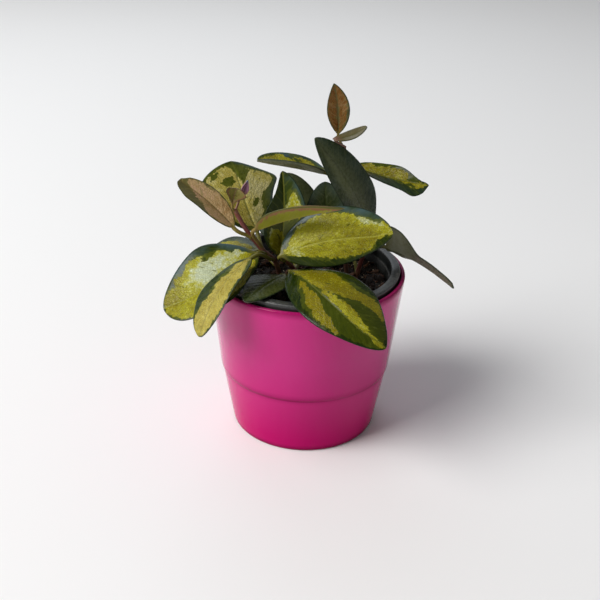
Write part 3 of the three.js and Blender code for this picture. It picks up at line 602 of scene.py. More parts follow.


# The leaves: thick waxy oval blades on short stalks, grown one by one along the stems. Each is folded a
# little along its midrib, with a sunken rib above, a raised one beneath, and a soft rounded edge.

# A leaf is given by its foot on the stem (node), the start and end of its blade (base, tip) and the way its
# upper side looks (faces), by its width, its arch upwards and its bend sideways (wide, bow, sway), and by how
# far its left and right half fold up, in degrees. twist is (degrees, from, to), lobes are (side, place,
# length, amount) of swellings of the outline, swept slides the halves along the blade, hook bends its tip
# aside, widest is where it is widest, and a smaller blunt or tip_blunt makes a rounder end. stalk is the
# stalk's radius, and rib is where the midrib lies across the blade. Sizes are in millimetres.
# Places run from 0 at the base to 1 at the tip, and across from -1 on the left to 1 on the right.
# pale, dark and green are bands of the marbling. light sets how pale the tones are, partly the leaf's own
# tone and partly painted light and shade for where the leaf lies, and glow lays soft patches over it as
# (place along, place across, reach along, reach across, amount), painted highlight where the amount is
# above nought and painted shade below. bloom is a painted bluish reflection of the sky on the two
# margins, clear_rib and veined bring out its lines, and blush reddens its hem.
LEAVES = {
    "leaf_top": dict(
        node=(21.6, 4.5, 211), base=(18.5, 5, 218.8), tip=(14.4, 0, 254.2), faces=(0.1, -0.9, 0.3), wide=16,
        bow=-1, sway=1.5, fold=(14, 14), blunt=0.75, stalk=0.8, light=-0.2, finish="bronze",
        pale=[[(0.0, -0.9, 0.9), (0.25, -0.9, 0.6), (0.6, -0.92, 0.8), (0.9, -0.9, 0.9),
               (0.97, -0.5, 0.5)]],
        dark=[[(0.0, -0.1, 0.08), (0.6, -0.1, 0.04), (0.93, -0.03, 0.03)],
              [(0.25, 0.6, 1), (0.6, 0.75, 1)]],
    ),
    "leaf_top_partner": dict(
        node=(23.6, 2.6, 210.5), base=(17.6, -2.2, 217.2), tip=(37.6, 4, 224.8), faces=(-0.2, -0.25, 0.95),
        wide=12, bow=-2, sway=0, fold=(10, 10), stalk=0.8, swept=(-3, -3, 0, 0), finish="dull",
    ),
    "leaf_upper_dark": dict(
        node=(45, 3, 144), base=(44.4, 13, 144.7), tip=(3, -10, 220.4), faces=(0.45, -0.75, 0.4), wide=30.5,
        bow=3, sway=3, fold=(8, 8), blunt=0.65, lobes=[(1, 0.3, 0.2, 2), (-1, 0.5, 0.3, -1.5)], light=0.3,
        painted_light_patches=[(0.6, -0.3, 0.35, 0.24, 1.0), (0.25, 0.0, 0.2, 0.25, 0.6), (0.5, 0.7, 0.6, 0.3, -0.4)],
        sky_sheen=(0.25, 0.25),
        clear_rib=0.5, veined=0.3, finish="dark",
    ),
    "leaf_upper_left": dict(
        node=(25, 9, 170), base=(11.4, 10, 189.3), tip=(-36, 4, 199), faces=(0, 0.05, 1), wide=25, bow=0.5,
        sway=0, fold=(30, 30), tip_blunt=0.45, light=0.3, sky_sheen=(0.3, 1.0), finish="marbled",
        pale=[[(0.08, -0.2, 0.3), (0.25, -0.6, 0.66), (0.5, -0.7, 0.74), (0.75, -0.7, 0.76),
               (0.97, -0.4, 0.5)]],
        dark=[[(0.34, 0.42, 0.48), (0.4, 0.4, 0.6), (0.47, 0.5, 0.62)],
              [(0.5, 0.55, 0.9), (0.62, 0.62, 0.9)]],
    ),
    "leaf_upper_right": dict(
        node=(25, 9, 172), base=(30.9, 27.0, 188.4), tip=(82.7, 7.0, 183.3), faces=(0, 0.05, 1), wide=25,
        bow=-1.5, sway=0, fold=(25, 15), twist=(50, 0, 1), widest=0.46, blunt=0.45, tip_blunt=0.8,
        swept=(0, 0, 0, 3),
        lobes=[(1, 0.84, 0.12, 5.5), (1, 0.5, 0.2, -2.5), (-1, 0.5, 0.35, -2), (-1, 0.85, 0.15, -2)],
        light=0.15, sky_sheen=(0, 0.2), finish="marbled",
        pale=[[(0.04, -0.5, 0.0), (0.15, -0.8, 0.02), (0.42, -0.76, 0.1), (0.7, -0.76, 0.2),
               (0.8, -0.4, 0.4), (0.98, -0.1, 0.5)]],
        dark=[[(0.17, -1, -0.72), (0.3, -1, -0.63), (0.44, -1, -0.8)],
              [(0.73, -0.5, -0.2), (0.82, -0.6, -0.05), (0.95, -0.5, -0.02)],
              [(0.7, 0.22, 0.26), (0.78, 0.2, 0.34), (0.86, 0.26, 0.3)]],
    ),
    "leaf_left_bronze": dict(
        node=(-39, -14, 150), base=(-51, -19, 159.3), tip=(-87.8, -12, 189), faces=(0.3, -0.6, 0.7),
        wide=20, bow=1, sway=1.8, fold=(18, 18), tip_blunt=0.45, hook=1.3, lobes=[(-1, 0.82, 0.15, 1.8)],
        light=0.9, sky_sheen=(0.3, 0.3), veined=0.4, finish="bronze",
        pale=[[(0.0, -0.95, 0.85), (0.35, -0.9, 0.9), (0.55, -0.45, 0.8), (0.75, -0.1, 0.8),
               (0.88, 0.4, 0.8)]],
        dark=[[(0.35, 0.82, 1), (0.55, 0.72, 1), (0.75, 0.8, 1)],
              [(0.55, -0.8, -0.5), (0.8, -0.9, -0.3)]],
    ),
    "leaf_centre": dict(
        node=(-16, -12, 132), base=(-17.7, -22, 140.4), tip=(57.1, -26, 160.1), faces=(0, -0.75, 0.66),
        wide=42, bow=4, sway=-6, fold=(-4, -20), rib=(0.1, 0.24), light=0.45,
        painted_light_patches=[(0.12, 0.05, 0.14, 0.4, 0.5), (0.82, -0.5, 0.14, 0.3, 0.7)], sky_sheen=(0.9, 0.0), clear_rib=0.9,
        finish="marbled",
        pale=[[(0.03, -0.3, 0.2), (0.1, -0.42, 0.42), (0.2, -0.76, 0.5), (0.31, -0.78, 0.62),
               (0.45, -0.8, 0.76), (0.7, -0.68, 0.84), (0.84, -0.5, 0.84), (0.92, -0.8, 0.5),
               (1.0, -0.9, 0.4)]],
        dark=[[(0.84, 0.7, 0.8), (0.89, 0.35, 0.95), (0.96, 0.1, 0.95)],
              [(0.6, -1, -0.84), (0.7, -0.84, -0.6), (0.8, -0.9, -0.66)],
              [(0.78, -0.9, -0.66), (0.84, -0.86, -0.5), (0.9, -0.84, -0.6)]],
    ),
    "bud_leaf": dict(
        node=(-50.3, -18.6, 171), base=(-51.4, -20, 175), tip=(-48.7, -16, 186.3), faces=(0.4, -0.8, 0.3),
        wide=17, bow=-1, sway=0, fold=(25, 25), widest=0.75, tip_blunt=0.3, stalk=0.8,
        swept=(0, 0, 1.5, -1.5), light=0.2, blush=0.7, finish="young",
        pale=[[(0.0, -0.8, 0.35), (0.5, -0.85, 0.5), (0.9, -0.8, 0.3)]],
    ),
    "leaf_back_left": dict(
        node=(-32, -10, 140), base=(-36, 2, 148), tip=(-56.8, 38, 186.2), faces=(0.1, -0.6, 0.75), wide=58,
        bow=3, sway=0, fold=(10, -20), widest=0.55,
        lobes=[(1, 0.74, 0.12, 6), (1, 0.42, 0.18, -5), (-1, 0.72, 0.2, 2.2)], rib=(-0.08, 0.0), light=0.85,
        painted_light_patches=[(0.3, -0.5, 0.3, 0.3, -0.3), (0.42, 0.45, 0.3, 0.3, 0.7)], sky_sheen=(0.0, 0.9), clear_rib=0.1,
        veined=0.25, finish="golden",
        pale=[[(0.06, -0.5, 0.5), (0.16, -0.75, 0.5), (0.32, -0.8, 0.55), (0.45, -0.85, 0.63),
               (0.58, -0.88, 0.8), (0.7, -0.9, 0.9), (0.82, -0.85, 0.75), (0.93, -0.6, 0.1)]],
        dark=[[(0.27, 0.18, 0.22), (0.34, 0.2, 0.38), (0.4, 0.34, 0.42)],
              [(0.64, -0.36, -0.2), (0.7, -0.5, -0.1), (0.77, -0.36, -0.14)],
              [(0.64, 0.02, 0.05), (0.74, 0.04, 0.26), (0.85, -0.05, 0.5), (1.0, -0.3, 0.5)],
              [(0.74, -0.78, -0.7), (0.8, -0.78, -0.6), (0.87, -0.64, -0.58)]],
        green=[[(0.3, -0.96, 0.9), (0.6, -0.97, 0.96), (0.8, -0.96, 0.9), (0.94, -0.9, 0.6)]],
    ),
    "leaf_boat": dict(
        node=(-32, -10, 140), base=(-34.9, -20, 158.7), tip=(23.6, -32, 180), faces=(-0.2, 0.3, 0.95),
        wide=18.5, bow=2.0, sway=0, fold=(50, 56), widest=0.3, blunt=0.8, tip_blunt=1.0, blush=0.85,
        finish="young",
    ),
    "leaf_centre_back": dict(
        node=(-13, -8, 128), base=(-19.3, -4, 132), tip=(-18.6, 6, 191.4), faces=(0, -0.95, 0.3), wide=33,
        bow=3, sway=2, fold=(35, 15), blunt=0.65, lobes=[(-1, 0.78, 0.2, -5.5), (-1, 0.2, 0.15, 1.5)],
        light=0.95, painted_light_patches=[(0.15, 0, 0.15, 1, -0.6)], sky_sheen=(0.2, 0.9), clear_rib=0.5, veined=0.5,
        finish="marbled",
        pale=[[(0.46, 0.1, 0.72), (0.58, 0.1, 0.8), (0.68, 0.22, 0.76), (0.75, 0.4, 0.64)],
              [(0.04, -0.5, 0.3), (0.12, -0.74, 0.3), (0.24, -0.76, 0.1), (0.34, -0.62, -0.16)]],
        green=[[(0.04, -0.8, 0.6), (0.25, -0.9, 0.7), (0.45, -0.7, 0.6)],
               [(0.35, 0.15, 0.8), (0.6, 0.1, 0.85), (0.8, 0.3, 0.8)]],
    ),
    "leaf_dark_behind": dict(
        node=(-8.5, 1, 119), base=(-3, 14, 126), tip=(-17.5, 22, 184), faces=(0.2, -0.95, 0.3), wide=32,
        bow=3, sway=4, fold=(10, 10), light=0.55, sky_sheen=(0.1, 0.1), veined=0.3, finish="dark",
    ),
    "leaf_dark_middle": dict(
        node=(29, 9, 125), base=(14, 7, 138), tip=(11, 10, 183), faces=(0, -0.95, 0.3), wide=29, bow=2,
        sway=0, fold=(5, 5), light=0.25, sky_sheen=(0.5, 0.5), veined=0.4, finish="dark",
    ),
    "leaf_low_left": dict(
        node=(-28, -7.5, 135), base=(-35.4, -18, 139.2), tip=(-96.6, -44, 108.4),
        faces=(-0.15, -0.75, 0.65), wide=51, bow=7, sway=-3, fold=(24, -8),
        lobes=[(-1, 0.2, 0.2, -4.5), (-1, 0.87, 0.14, 3), (1, 0.3, 0.3, 3)], rib=(-0.2, -0.1), light=0.3,
        painted_light_patches=[(0.48, 0.3, 0.28, 0.4, 1.4), (0.15, 0.5, 0.12, 0.3, 0.5), (0.3, -0.4, 0.3, 0.3, 0.5)],
        sky_sheen=(0.1, 1.0), clear_rib=0.6,
        finish="marbled",
        pale=[[(0.05, -0.7, 0.3), (0.1, -0.82, 0.6), (0.16, -0.86, 0.52), (0.24, -0.9, 0.68),
               (0.36, -0.9, 0.62), (0.5, -0.92, 0.76), (0.62, -0.92, 0.84), (0.72, -0.92, 0.7),
               (0.8, -0.92, 0.85), (0.98, -0.8, 0.8)]],
        dark=[[(0.37, 0.6, 0.7), (0.4, 0.52, 0.74), (0.47, 0.56, 0.72)],
              [(0.82, 0.55, 1), (0.88, 0.72, 1)]],
    ),
    "leaf_low_left_front": dict(
        node=(-24, -5, 129.5), base=(-38.5, -34, 142.7), tip=(-69.0, -74.5, 104.3), faces=(-0.6, -0.5, 0.6),
        wide=32, bow=8, sway=-1, fold=(5, 5),
        lobes=[(1, 0.3, 0.25, -4), (-1, 0.4, 0.3, -3.5), (1, 0.9, 0.1, 1.2)], light=0.45, sky_sheen=(0.3, 0.3),
        clear_rib=0.6, finish="golden",
        pale=[[(0.02, -0.45, 0.1), (0.1, -0.7, 0.45), (0.22, -0.8, 0.38), (0.4, -0.88, 0.42),
               (0.5, -0.9, 0.34), (0.62, -0.9, 0.4), (0.72, -0.9, 0.6), (0.8, -0.9, 0.85),
               (0.99, -0.8, 0.85)]],
    ),
    "leaf_low_left_behind": dict(
        node=(-22, -3, 124), base=(-36, 8, 130), tip=(-76, 14, 121), faces=(0, -0.1, 1), wide=34, bow=5,
        sway=0, fold=(0, 0), light=0.1, sky_sheen=(0.1, 0.1), finish="marbled",
        pale=[[(0.1, -0.3, 0.3), (0.4, -0.6, 0.5), (0.8, -0.5, 0.6), (0.95, -0.3, 0.3)]],
    ),
    "leaf_left_rim": dict(
        node=(-19.5, 0, 115), base=(-15.8, -14.2, 121), tip=(-39.2, -66, 126.6), faces=(0.1, -0.35, 0.93),
        wide=27, bow=3, sway=0, fold=(8, -14),
        lobes=[(1, 0.75, 0.2, -1), (1, 0.35, 0.25, 4.5), (-1, 0.6, 0.3, -2)], light=0.05, sky_sheen=(0, 0),
        veined=0.5, finish="dark",
        green=[[(0.1, -0.6, 0.5), (0.4, -0.9, 0.2), (0.75, -0.9, 0.3), (0.95, -0.5, 0.3)],
               [(0.3, 0.35, 0.6), (0.6, 0.4, 0.7), (0.8, 0.5, 0.7)]],
    ),
    "leaf_front_right": dict(
        node=(-8, 2, 117), base=(-11, -21, 127.9), tip=(51.1, -92, 109.1), faces=(-0.1, -0.5, 0.85),
        wide=50, bow=18, sway=2, fold=(-20, -2), tip_blunt=0.6,
        lobes=[(-1, 0.74, 0.22, 4.2), (1, 0.2, 0.3, -3.5), (1, 0.8, 0.25, -0.8)], rib=(0.1, 0.27),
        light=0.0,
        painted_light_patches=[(0.3, 0.45, 0.35, 0.22, -0.5), (0.7, 0.1, 0.3, 0.16, 0.75), (0.35, -0.3, 0.3, 0.3, 0.15)],
        sky_sheen=(0, 0), clear_rib=0.15, veined=0.1, finish="marbled",
        pale=[[(0.04, -0.2, 0.05), (0.12, -0.45, 0.1), (0.22, -0.78, 0.13), (0.42, -0.67, 0.12),
               (0.5, -0.66, -0.05), (0.6, -0.6, -0.2), (0.68, -0.78, -0.42), (0.78, -0.93, -0.56),
               (0.88, -0.96, -0.8)],
              [(0.44, 0.08, 0.12), (0.55, -0.02, 0.14), (0.66, -0.12, 0.17), (0.76, -0.1, 0.22),
               (0.86, 0.0, 0.27), (0.95, 0.05, 0.34), (1.0, -0.2, 0.4)],
              [(0.2, 0.22, 0.3), (0.35, 0.27, 0.5), (0.46, 0.32, 0.7), (0.56, 0.42, 0.8), (0.66, 0.58, 0.9),
               (0.76, 0.82, 0.96)]],
        dark=[[(0.52, -1, -0.86), (0.6, -1, -0.7), (0.66, -1, -0.86)]],
        green=[[(0.16, -0.5, 0.3), (0.3, -0.6, 0.62), (0.5, -0.74, 0.86), (0.68, -0.86, 0.9),
                (0.85, -0.92, 0.9), (0.97, -0.9, 0.8)]],
    ),
    "leaf_right_hanging": dict(
        node=(41.5, 4.8, 133), base=(55.9, 6, 136.4), tip=(106.2, 0, 107.8), faces=(0.3, 0.85, 0.45),
        wide=36, bow=4, sway=0, fold=(-25, 45), twist=(60, 0.1, 0.45), widest=0.14, blunt=0.45,
        tip_blunt=2.2, swept=(0, -7, 0, 0),
        lobes=[(-1, 0.12, 0.24, -16), (-1, 0.75, 0.2, 9), (1, 0.2, 0.18, -4), (1, 0.8, 0.2, 14)],
        sky_sheen=(0, 0), finish="dark",
    ),
    "leaf_rear_left": dict(
        node=(-7, 4, 116), base=(-12, 26, 122), tip=(-26, 82, 126), faces=(0, 0, 1), wide=42, bow=5, sway=0,
        fold=(10, 10), light=0.5, sky_sheen=(0.5, 0.5), finish="marbled",
        pale=[[(0.06, -0.3, 0.3), (0.3, -0.7, 0.5), (0.5, -0.5, 0.75), (0.75, -0.7, 0.6),
               (0.95, -0.3, 0.2)]],
        dark=[[(0.3, 0.2, 0.3), (0.45, 0.1, 0.4), (0.6, 0.3, 0.4)]],
    ),
    "leaf_rear_right": dict(
        node=(36, 6, 116), base=(34, 22, 124), tip=(34, 80, 116), faces=(0, 0, 1), wide=38, bow=9, sway=0,
        fold=(10, 10), light=0.3, sky_sheen=(0.4, 0.4), finish="marbled",
        pale=[[(0.08, 0.05, 0.4), (0.3, -0.1, 0.7), (0.55, 0.1, 0.75), (0.8, 0.2, 0.5)],
              [(0.4, -0.6, -0.3), (0.6, -0.75, -0.3), (0.8, -0.5, -0.3)]],
    ),
}
# What all leaves share. SMALL_WIDTH and STALK_RADIUS are in millimetres like the table, the other lengths in
# metres, and the rest are parts, places and weights without a unit. Leaves narrower than SMALL_WIDTH have a
# thinner blade with fewer points. OUTSIDE_BANDS is a distance, and marks points that lie in no band.
LEAF_THICKNESS, SMALL_WIDTH, SMALL_PART, STALK_RADIUS = 0.0014, 18, 0.8, 1.3
DRIP_WIDTH, DRIP_LENGTH, HOOK_START = 0.1, 0.06, 0.9
BLADE_RINGS, BLADE_COLUMNS, SMALL_RINGS, SMALL_COLUMNS, STALK_RINGS = 110, 47, 60, 27, 15
STALK_JOINT, SOFTENING, THINNEST, TIP_HALF = 0.004, 0.005, 0.0002, 0.00012
RIB_WIDTH, RIB_SUNK, RIB_RAISED, CREASE = 0.0009, 0.00038, 0.00055, 0.1
VEIN_PITCH, VEIN_SLOPE, VEIN_SHIFT = 0.0068, 1.15, 0.002
VEIN_WIDTH_SQUARED, VEIN_DEPTH, VEIN_START = 0.0000011, 0.00011, 0.004
LONG_WAVE, SHORT_WAVE, WAVE_DEPTH = 0.0082, 0.0047, 0.022
CROWDED_AT_RIB, CROWDING_SQUARED, CROWDED_AT_EDGE = 2.2, 0.02, 1.2
STALK_BOW, STALK_END, FOOT_FLARE, FOOT_REACH, TOP_FLARE = 0.4, 0.97, 0.25, 0.1, 0.15
FIRST_RING, HALVES_MEET, USUAL_BLUNT, USUAL_WIDEST = 0.045, 0.3, 0.56, 0.48
RIB_PLACES, RIB_FADE, SWEPT_TIP, OUTSIDE_BANDS = (0, 0.15, 0.85, 1), 0.2, 0.08, -0.006


def eased(share):
    """A share between 0 and 1 with a soft start and end."""
    share = np.clip(share, 0, 1)
    return share * share * (3 - 2 * share)


def outline(along, widest, blunt, tip_blunt):
    """Half width of a blade as a part of its greatest: an oval that ends in a narrow drip point."""
    oval = np.sin(math.pi * np.minimum(1, along ** (math.log(0.5) / math.log(widest)))).clip(0)
    oval = oval ** np.where(along < widest, blunt, tip_blunt)
    point = DRIP_WIDTH * np.minimum(1, (1 - along) / DRIP_LENGTH)
    return (oval**3 + point**3) ** (1 / 3)


def bent_frame(leaf, along):
    """The midrib's points, with the directions along it, up from it and to its right. The last tenth of
    some blades hooks aside."""
    base, tip = np.array(leaf["base"]) / 1000, np.array(leaf["tip"]) / 1000
    chord = tip - base
    axis = unit(chord)
    faces = np.array(leaf["faces"], float)
    up = unit(faces - axis * (faces @ axis))
    side = np.cross(axis, up)

    def place(share):
        hump = (4 * share * (1 - share))[:, None] / 1000
        hook = (np.clip((share - HOOK_START) / (1 - HOOK_START), 0, 1) ** 2)[:, None] / 1000
        arched = base + share[:, None] * chord + hump * (leaf["bow"] * up + leaf["sway"] * side)
        return arched + hook * leaf.get("hook", 0) * side

    run = unit(place(along + 0.01) - place(along - 0.01))
    top = unit(up - run * (run @ up)[:, None])
    by, start, end = leaf.get("twist", (0, 0, 1))
    turn = np.radians(by * eased((along - start) / (end - start)))[:, None]
    top = top * np.cos(turn) + np.cross(run, top) * np.sin(turn)
    return place(along), run, top, np.cross(run, top)


def in_bands(bands, along, across, length, half):
    """How far inside the nearest of some bands each point lies, in metres, negative outside. A band is
    a row of (place along the blade, its left edge, its right edge)."""
    best = np.full(np.broadcast(along, across).shape, OUTSIDE_BANDS)
    for band in bands:
        at, left, right = np.array(band).T
        within = np.minimum(across - np.interp(along, at, left), np.interp(along, at, right) - across) * half
        ends = np.minimum(along - at[0], at[-1] - along) * length
        best = np.maximum(best, np.minimum(within, ends))
    return best


def places_across(leaf, count):
    """Places round a ring, over the upper side from -1 on the left to 1 on the right and back below, close
    together at the midrib and the edges. Each comes with 1 above, 0 below and a half on the edge."""
    dense = np.linspace(-1, 1, 2001)
    rib = np.mean(leaf.get("rib", (0, 0)))
    at_rib = CROWDED_AT_RIB * np.exp(-((dense - rib) ** 2) / CROWDING_SQUARED)
    spread = np.cumsum(1 + at_rib + CROWDED_AT_EDGE * dense**8)
    spread = (spread - spread[0]) / (spread[-1] - spread[0])
    above = np.interp(np.linspace(0, 1, count), spread, dense)
    v = np.concatenate([above, above[-2:0:-1]])
    return v, np.concatenate([[0.5], np.ones(count - 2), [0.5], np.zeros(count - 2)])


def stalk_rings(leaf, radius, v, sign):
    """The rings of a stalk that leaves its node towards the blade and bends into the line of the midrib."""
    s = np.linspace(0, STALK_END, STALK_RINGS)[:, None]
    start, end = np.array(leaf["node"]) / 1000, np.array(leaf["base"]) / 1000
    first = bent_frame(leaf, np.array([0.0]))
    reach = np.linalg.norm(end - start) * STALK_BOW
    near, far = start + unit(end - start) * reach, end - first[1][0] * reach
    middle = start * (1 - s) ** 3 + 3 * near * s * (1 - s) ** 2 + 3 * far * s**2 * (1 - s) + end * s**3
    run = unit(np.gradient(middle, axis=0))
    side = unit(first[3] - run * (run @ first[3][0])[:, None])
    top = np.cross(side, run)
    flare = radius * (1 + FOOT_FLARE * np.exp(-s / FOOT_REACH) + TOP_FLARE * s**4)
    rise = sign * np.sqrt(np.maximum(0, 1 - v**2))
    return middle[:, None] + flare[..., None] * (v[:, None] * side[:, None] + rise[:, None] * top[:, None])


def leaf_rings(leaf, seed):
    """The rings of one leaf, stalk and blade, from its foot on the stem to its drip point, and what the
    materials need to know at every point."""
    length = np.linalg.norm(np.array(leaf["tip"]) - np.array(leaf["base"])) / 1000
    radius = leaf.get("stalk", STALK_RADIUS) / 1000
    small = leaf["wide"] < SMALL_WIDTH
    v, upper = places_across(leaf, SMALL_COLUMNS if small else BLADE_COLUMNS)
    sign = 2 * upper - 1
    to_right = eased((v + HALVES_MEET / 2) / HALVES_MEET)

    def halves(left, right):
        """The left half's value and the right half's, with a soft change at the midrib."""
        return left * (1 - to_right) + right * to_right

    u = np.linspace(FIRST_RING, 1, SMALL_RINGS if small else BLADE_RINGS)
    along = (0.5 - 0.5 * np.cos(math.pi * u))[:, None]
    away = along * length
    middle, run, top, side = bent_frame(leaf, along[:, 0])
    blunt = leaf.get("blunt", USUAL_BLUNT)
    shape = outline(along, leaf.get("widest", USUAL_WIDEST), blunt, leaf.get("tip_blunt", blunt))
    full = leaf["wide"] / 2000 * shape
    for where, at, width, amount in leaf.get("lobes", ()):
        share = to_right if where > 0 else 1 - to_right
        lobe = np.exp(-(((along - at) / width) ** 2)) * np.minimum(1, 3 * shape)
        full = full + amount / 1000 * share * lobe
    half = (np.maximum(full, THINNEST) ** 4 + (radius * np.exp(-away / STALK_JOINT)) ** 4) ** 0.25
    half = np.broadcast_to(half, (len(along), len(v))).copy()
    half[-1] = TIP_HALF
    soft = np.exp(-away / SOFTENING)
    thick = LEAF_THICKNESS / 2 * (SMALL_PART if small else 1.0) * (1 - soft) + radius * soft
    thick = np.minimum(thick, half)
    height = sign * thick * np.sqrt(np.maximum(0, 1 - np.abs(v) ** (2 + 5 * (1 - soft))))
    rib_at = np.interp(along, RIB_PLACES, (0, *leaf.get("rib", (0, 0)), 0))
    from_rib = (v - rib_at) * half
    fade = np.clip(away / STALK_JOINT, 0, 1) * np.clip((1 - along) / RIB_FADE, 0, 1) * (1 - np.abs(v) ** 6)
    rib_depth = np.where(sign > 0, RIB_SUNK, RIB_RAISED)
    height = height - fade * np.exp(-((from_rib / RIB_WIDTH) ** 2)) * rib_depth
    slant = away - np.abs(from_rib) * VEIN_SLOPE
    off_vein = (slant + seed * VEIN_SHIFT) % VEIN_PITCH - VEIN_PITCH / 2
    veins = np.exp(-(off_vein**2) / VEIN_WIDTH_SQUARED)
    height = height - fade * veins * VEIN_DEPTH * np.clip(np.abs(from_rib) / VEIN_START, 0, 1)
    wave = np.sin(away / LONG_WAVE + seed * 2.1) * 0.6
    wave = wave + np.sin(away / SHORT_WAVE + seed * 5.3 + 2 * v) * 0.4
    height = height + wave * np.abs(v) ** 3 * half * WAVE_DEPTH * np.sin(math.pi * along)
    bend = (np.sqrt(v**2 + CREASE**2) - CREASE) / (math.sqrt(1 + CREASE**2) - CREASE)
    lean = np.radians(halves(*leaf["fold"]))
    left_base, right_base, left_tip, right_tip = np.array(leaf.get("swept", (0, 0, 0, 0))) / 1000
    sweep = halves(left_base, right_base) * (1 - along) ** 2
    sweep = sweep + halves(left_tip, right_tip) * along**2 * np.minimum(1, (1 - along) / SWEPT_TIP)
    blade = (
        middle[:, None]
        + (v * half * np.cos(lean))[..., None] * side[:, None]
        + (bend * half * np.sin(lean) + height)[..., None] * top[:, None]
        + (sweep * v**2)[..., None] * run[:, None]
    )

    stalk = stalk_rings(leaf, radius, v, sign)
    bands = {kind: in_bands(leaf.get(kind, ()), along, v, length, half) for kind in ("pale", "dark", "green")}
    # The light mark: the leaf's own paleness, partly painted light and shade for where the leaf lies, with
    # soft patches of painted highlight (amount above nought) and painted shade (below nought) added.
    light = leaf.get("light", 0.4)
    for at, middle_v, reach_t, reach_v, amount in leaf.get("painted_light_patches", ()):
        light = light + amount * np.exp(-(((along - at) / reach_t) ** 2) - ((v - middle_v) / reach_v) ** 2)

    def whole(on_stalk, on_blade):
        """One number for the stalk's points, and the blade's own for each of its points."""
        on_blade = np.broadcast_to(on_blade, half.shape)
        return np.concatenate([np.full((len(stalk), len(v)), float(on_stalk)), on_blade])

    marks = {
        "along": whole(0, away),
        "across": whole(0, from_rib),
        "rim": whole(0.01, (1 - np.abs(v)) * half),
        "pale": whole(OUTSIDE_BANDS, np.minimum(bands["pale"], -bands["dark"])),
        "green": whole(OUTSIDE_BANDS, bands["green"]),
        "upper": whole(0, upper),
        "stalk": whole(1, np.clip(1 - away / STALK_JOINT, 0, 1)),
        "seed": seed,
        "light": whole(0, light),
        "sky_sheen": whole(0, halves(*leaf.get("sky_sheen", (0.1, 0.1)))),
        "clear_rib": leaf.get("clear_rib", 0.2),
        "veined": leaf.get("veined", 0.25),
        "blush": leaf.get("blush", 0.0),
    }
    return np.array(leaf["node"]) / 1000, np.concatenate([stalk, blade]), marks


def grown_leaf(name, leaf, seed):
    """One leaf as a closed mesh with its marks."""
    start, rings, marks = leaf_rings(leaf, seed)
    return skin(name + "_skin", rings, start, rings[-1].mean(axis=0), **marks)


# Fine lines of the leaf: side veins that leave the midrib on a slant, and the small cells between them.
# Both the colours and the relief of every blade run along them.
lines, takes, gives = new_group(
    "leaf_lines",
    [("Along", "Float", 0.0), ("Across", "Float", 0.0), ("Seed", "Float", 0.0)],
    [("Slanted", "Vector"), ("Flat", "Vector"), ("Veins", "Float"), ("Threads", "Float"), ("Cells", "Float"),
     ("Relief", "Float")],
)
THREAD_FINENESS, CELL_FINENESS, WRINKLE_FINENESS, DRIFT_FINENESS = 520.0, 620.0, 800.0, 110.0
VEIN_DRIFT = 0.009
off_rib = maths(lines, "ABSOLUTE", takes["Across"])
slant = maths(lines, "SUBTRACT", takes["Along"], maths(lines, "MULTIPLY", off_rib, VEIN_SLOPE))
which = scaled(lines, takes["Seed"], 7.0, maths(lines, "SIGN", takes["Across"]))
off_half = maths(lines, "MULTIPLY", off_rib, 0.5)
slanted = put(lines, "CombineXYZ", (0, slant), (1, off_half), (2, which)).outputs[0]
flat = put(lines, "CombineXYZ", (0, takes["Along"]), (1, takes["Across"]), (2, takes["Seed"])).outputs[0]
thread = noise(lines, slanted, THREAD_FINENESS, 4.0)
wrinkle = noise(lines, flat, WRINKLE_FINENESS, 3.0)
cell = put(lines, "TexVoronoi", ("Vector", flat), ("Scale", CELL_FINENESS), feature="DISTANCE_TO_EDGE")
nets = between(lines, cell.outputs["Distance"], 0.0, 0.16)
beat = scaled(lines, takes["Seed"], VEIN_SHIFT, slant)
beat = scaled(lines, noise(lines, flat, DRIFT_FINENESS, 3.0), VEIN_DRIFT, beat)
beat = maths(lines, "FRACT", maths(lines, "DIVIDE", beat, VEIN_PITCH))
beat = maths(lines, "ABSOLUTE", maths(lines, "SUBTRACT", beat, 0.5))
relief = scaled(lines, wrinkle, 0.7, scaled(lines, nets, 0.35, thread))
lines.links.new(slanted, gives["Slanted"])
lines.links.new(flat, gives["Flat"])
lines.links.new(rest_of(lines, between(lines, beat, 0.02, 0.10)), gives["Veins"])
lines.links.new(between(lines, thread, 0.35, 0.7), gives["Threads"])
lines.links.new(nets, gives["Cells"])
lines.links.new(maths(lines, "SUBTRACT", relief, 1.1), gives["Relief"])

# Marbling: the frayed patches where the blade makes less green. Two greens and the bare yellow lie over
# each other with ragged edges, and small flecks of green stand in the yellow.
marbling, takes, gives = new_group(
    "leaf_marbling",
    [("Inside", "Float", 0.0), ("Green", "Float", 0.0), ("Slanted", "Vector", (0, 0, 0)),
     ("Flat", "Vector", (0, 0, 0))],
    [("Bare", "Float"), ("Half", "Float"), ("Fleck", "Float"), ("Cloud", "Float"), ("Mottle", "Float")],
)


def wobble(way, scale, detail, reach):
    """A noise of one scale around nought, reaching so many metres."""
    made = put(marbling, "TexNoise", ("Vector", way), ("Scale", scale), ("Detail", detail))
    made.inputs["Roughness"].default_value = 0.62
    return maths(marbling, "MULTIPLY", maths(marbling, "SUBTRACT", made.outputs["Fac"], 0.5), reach)


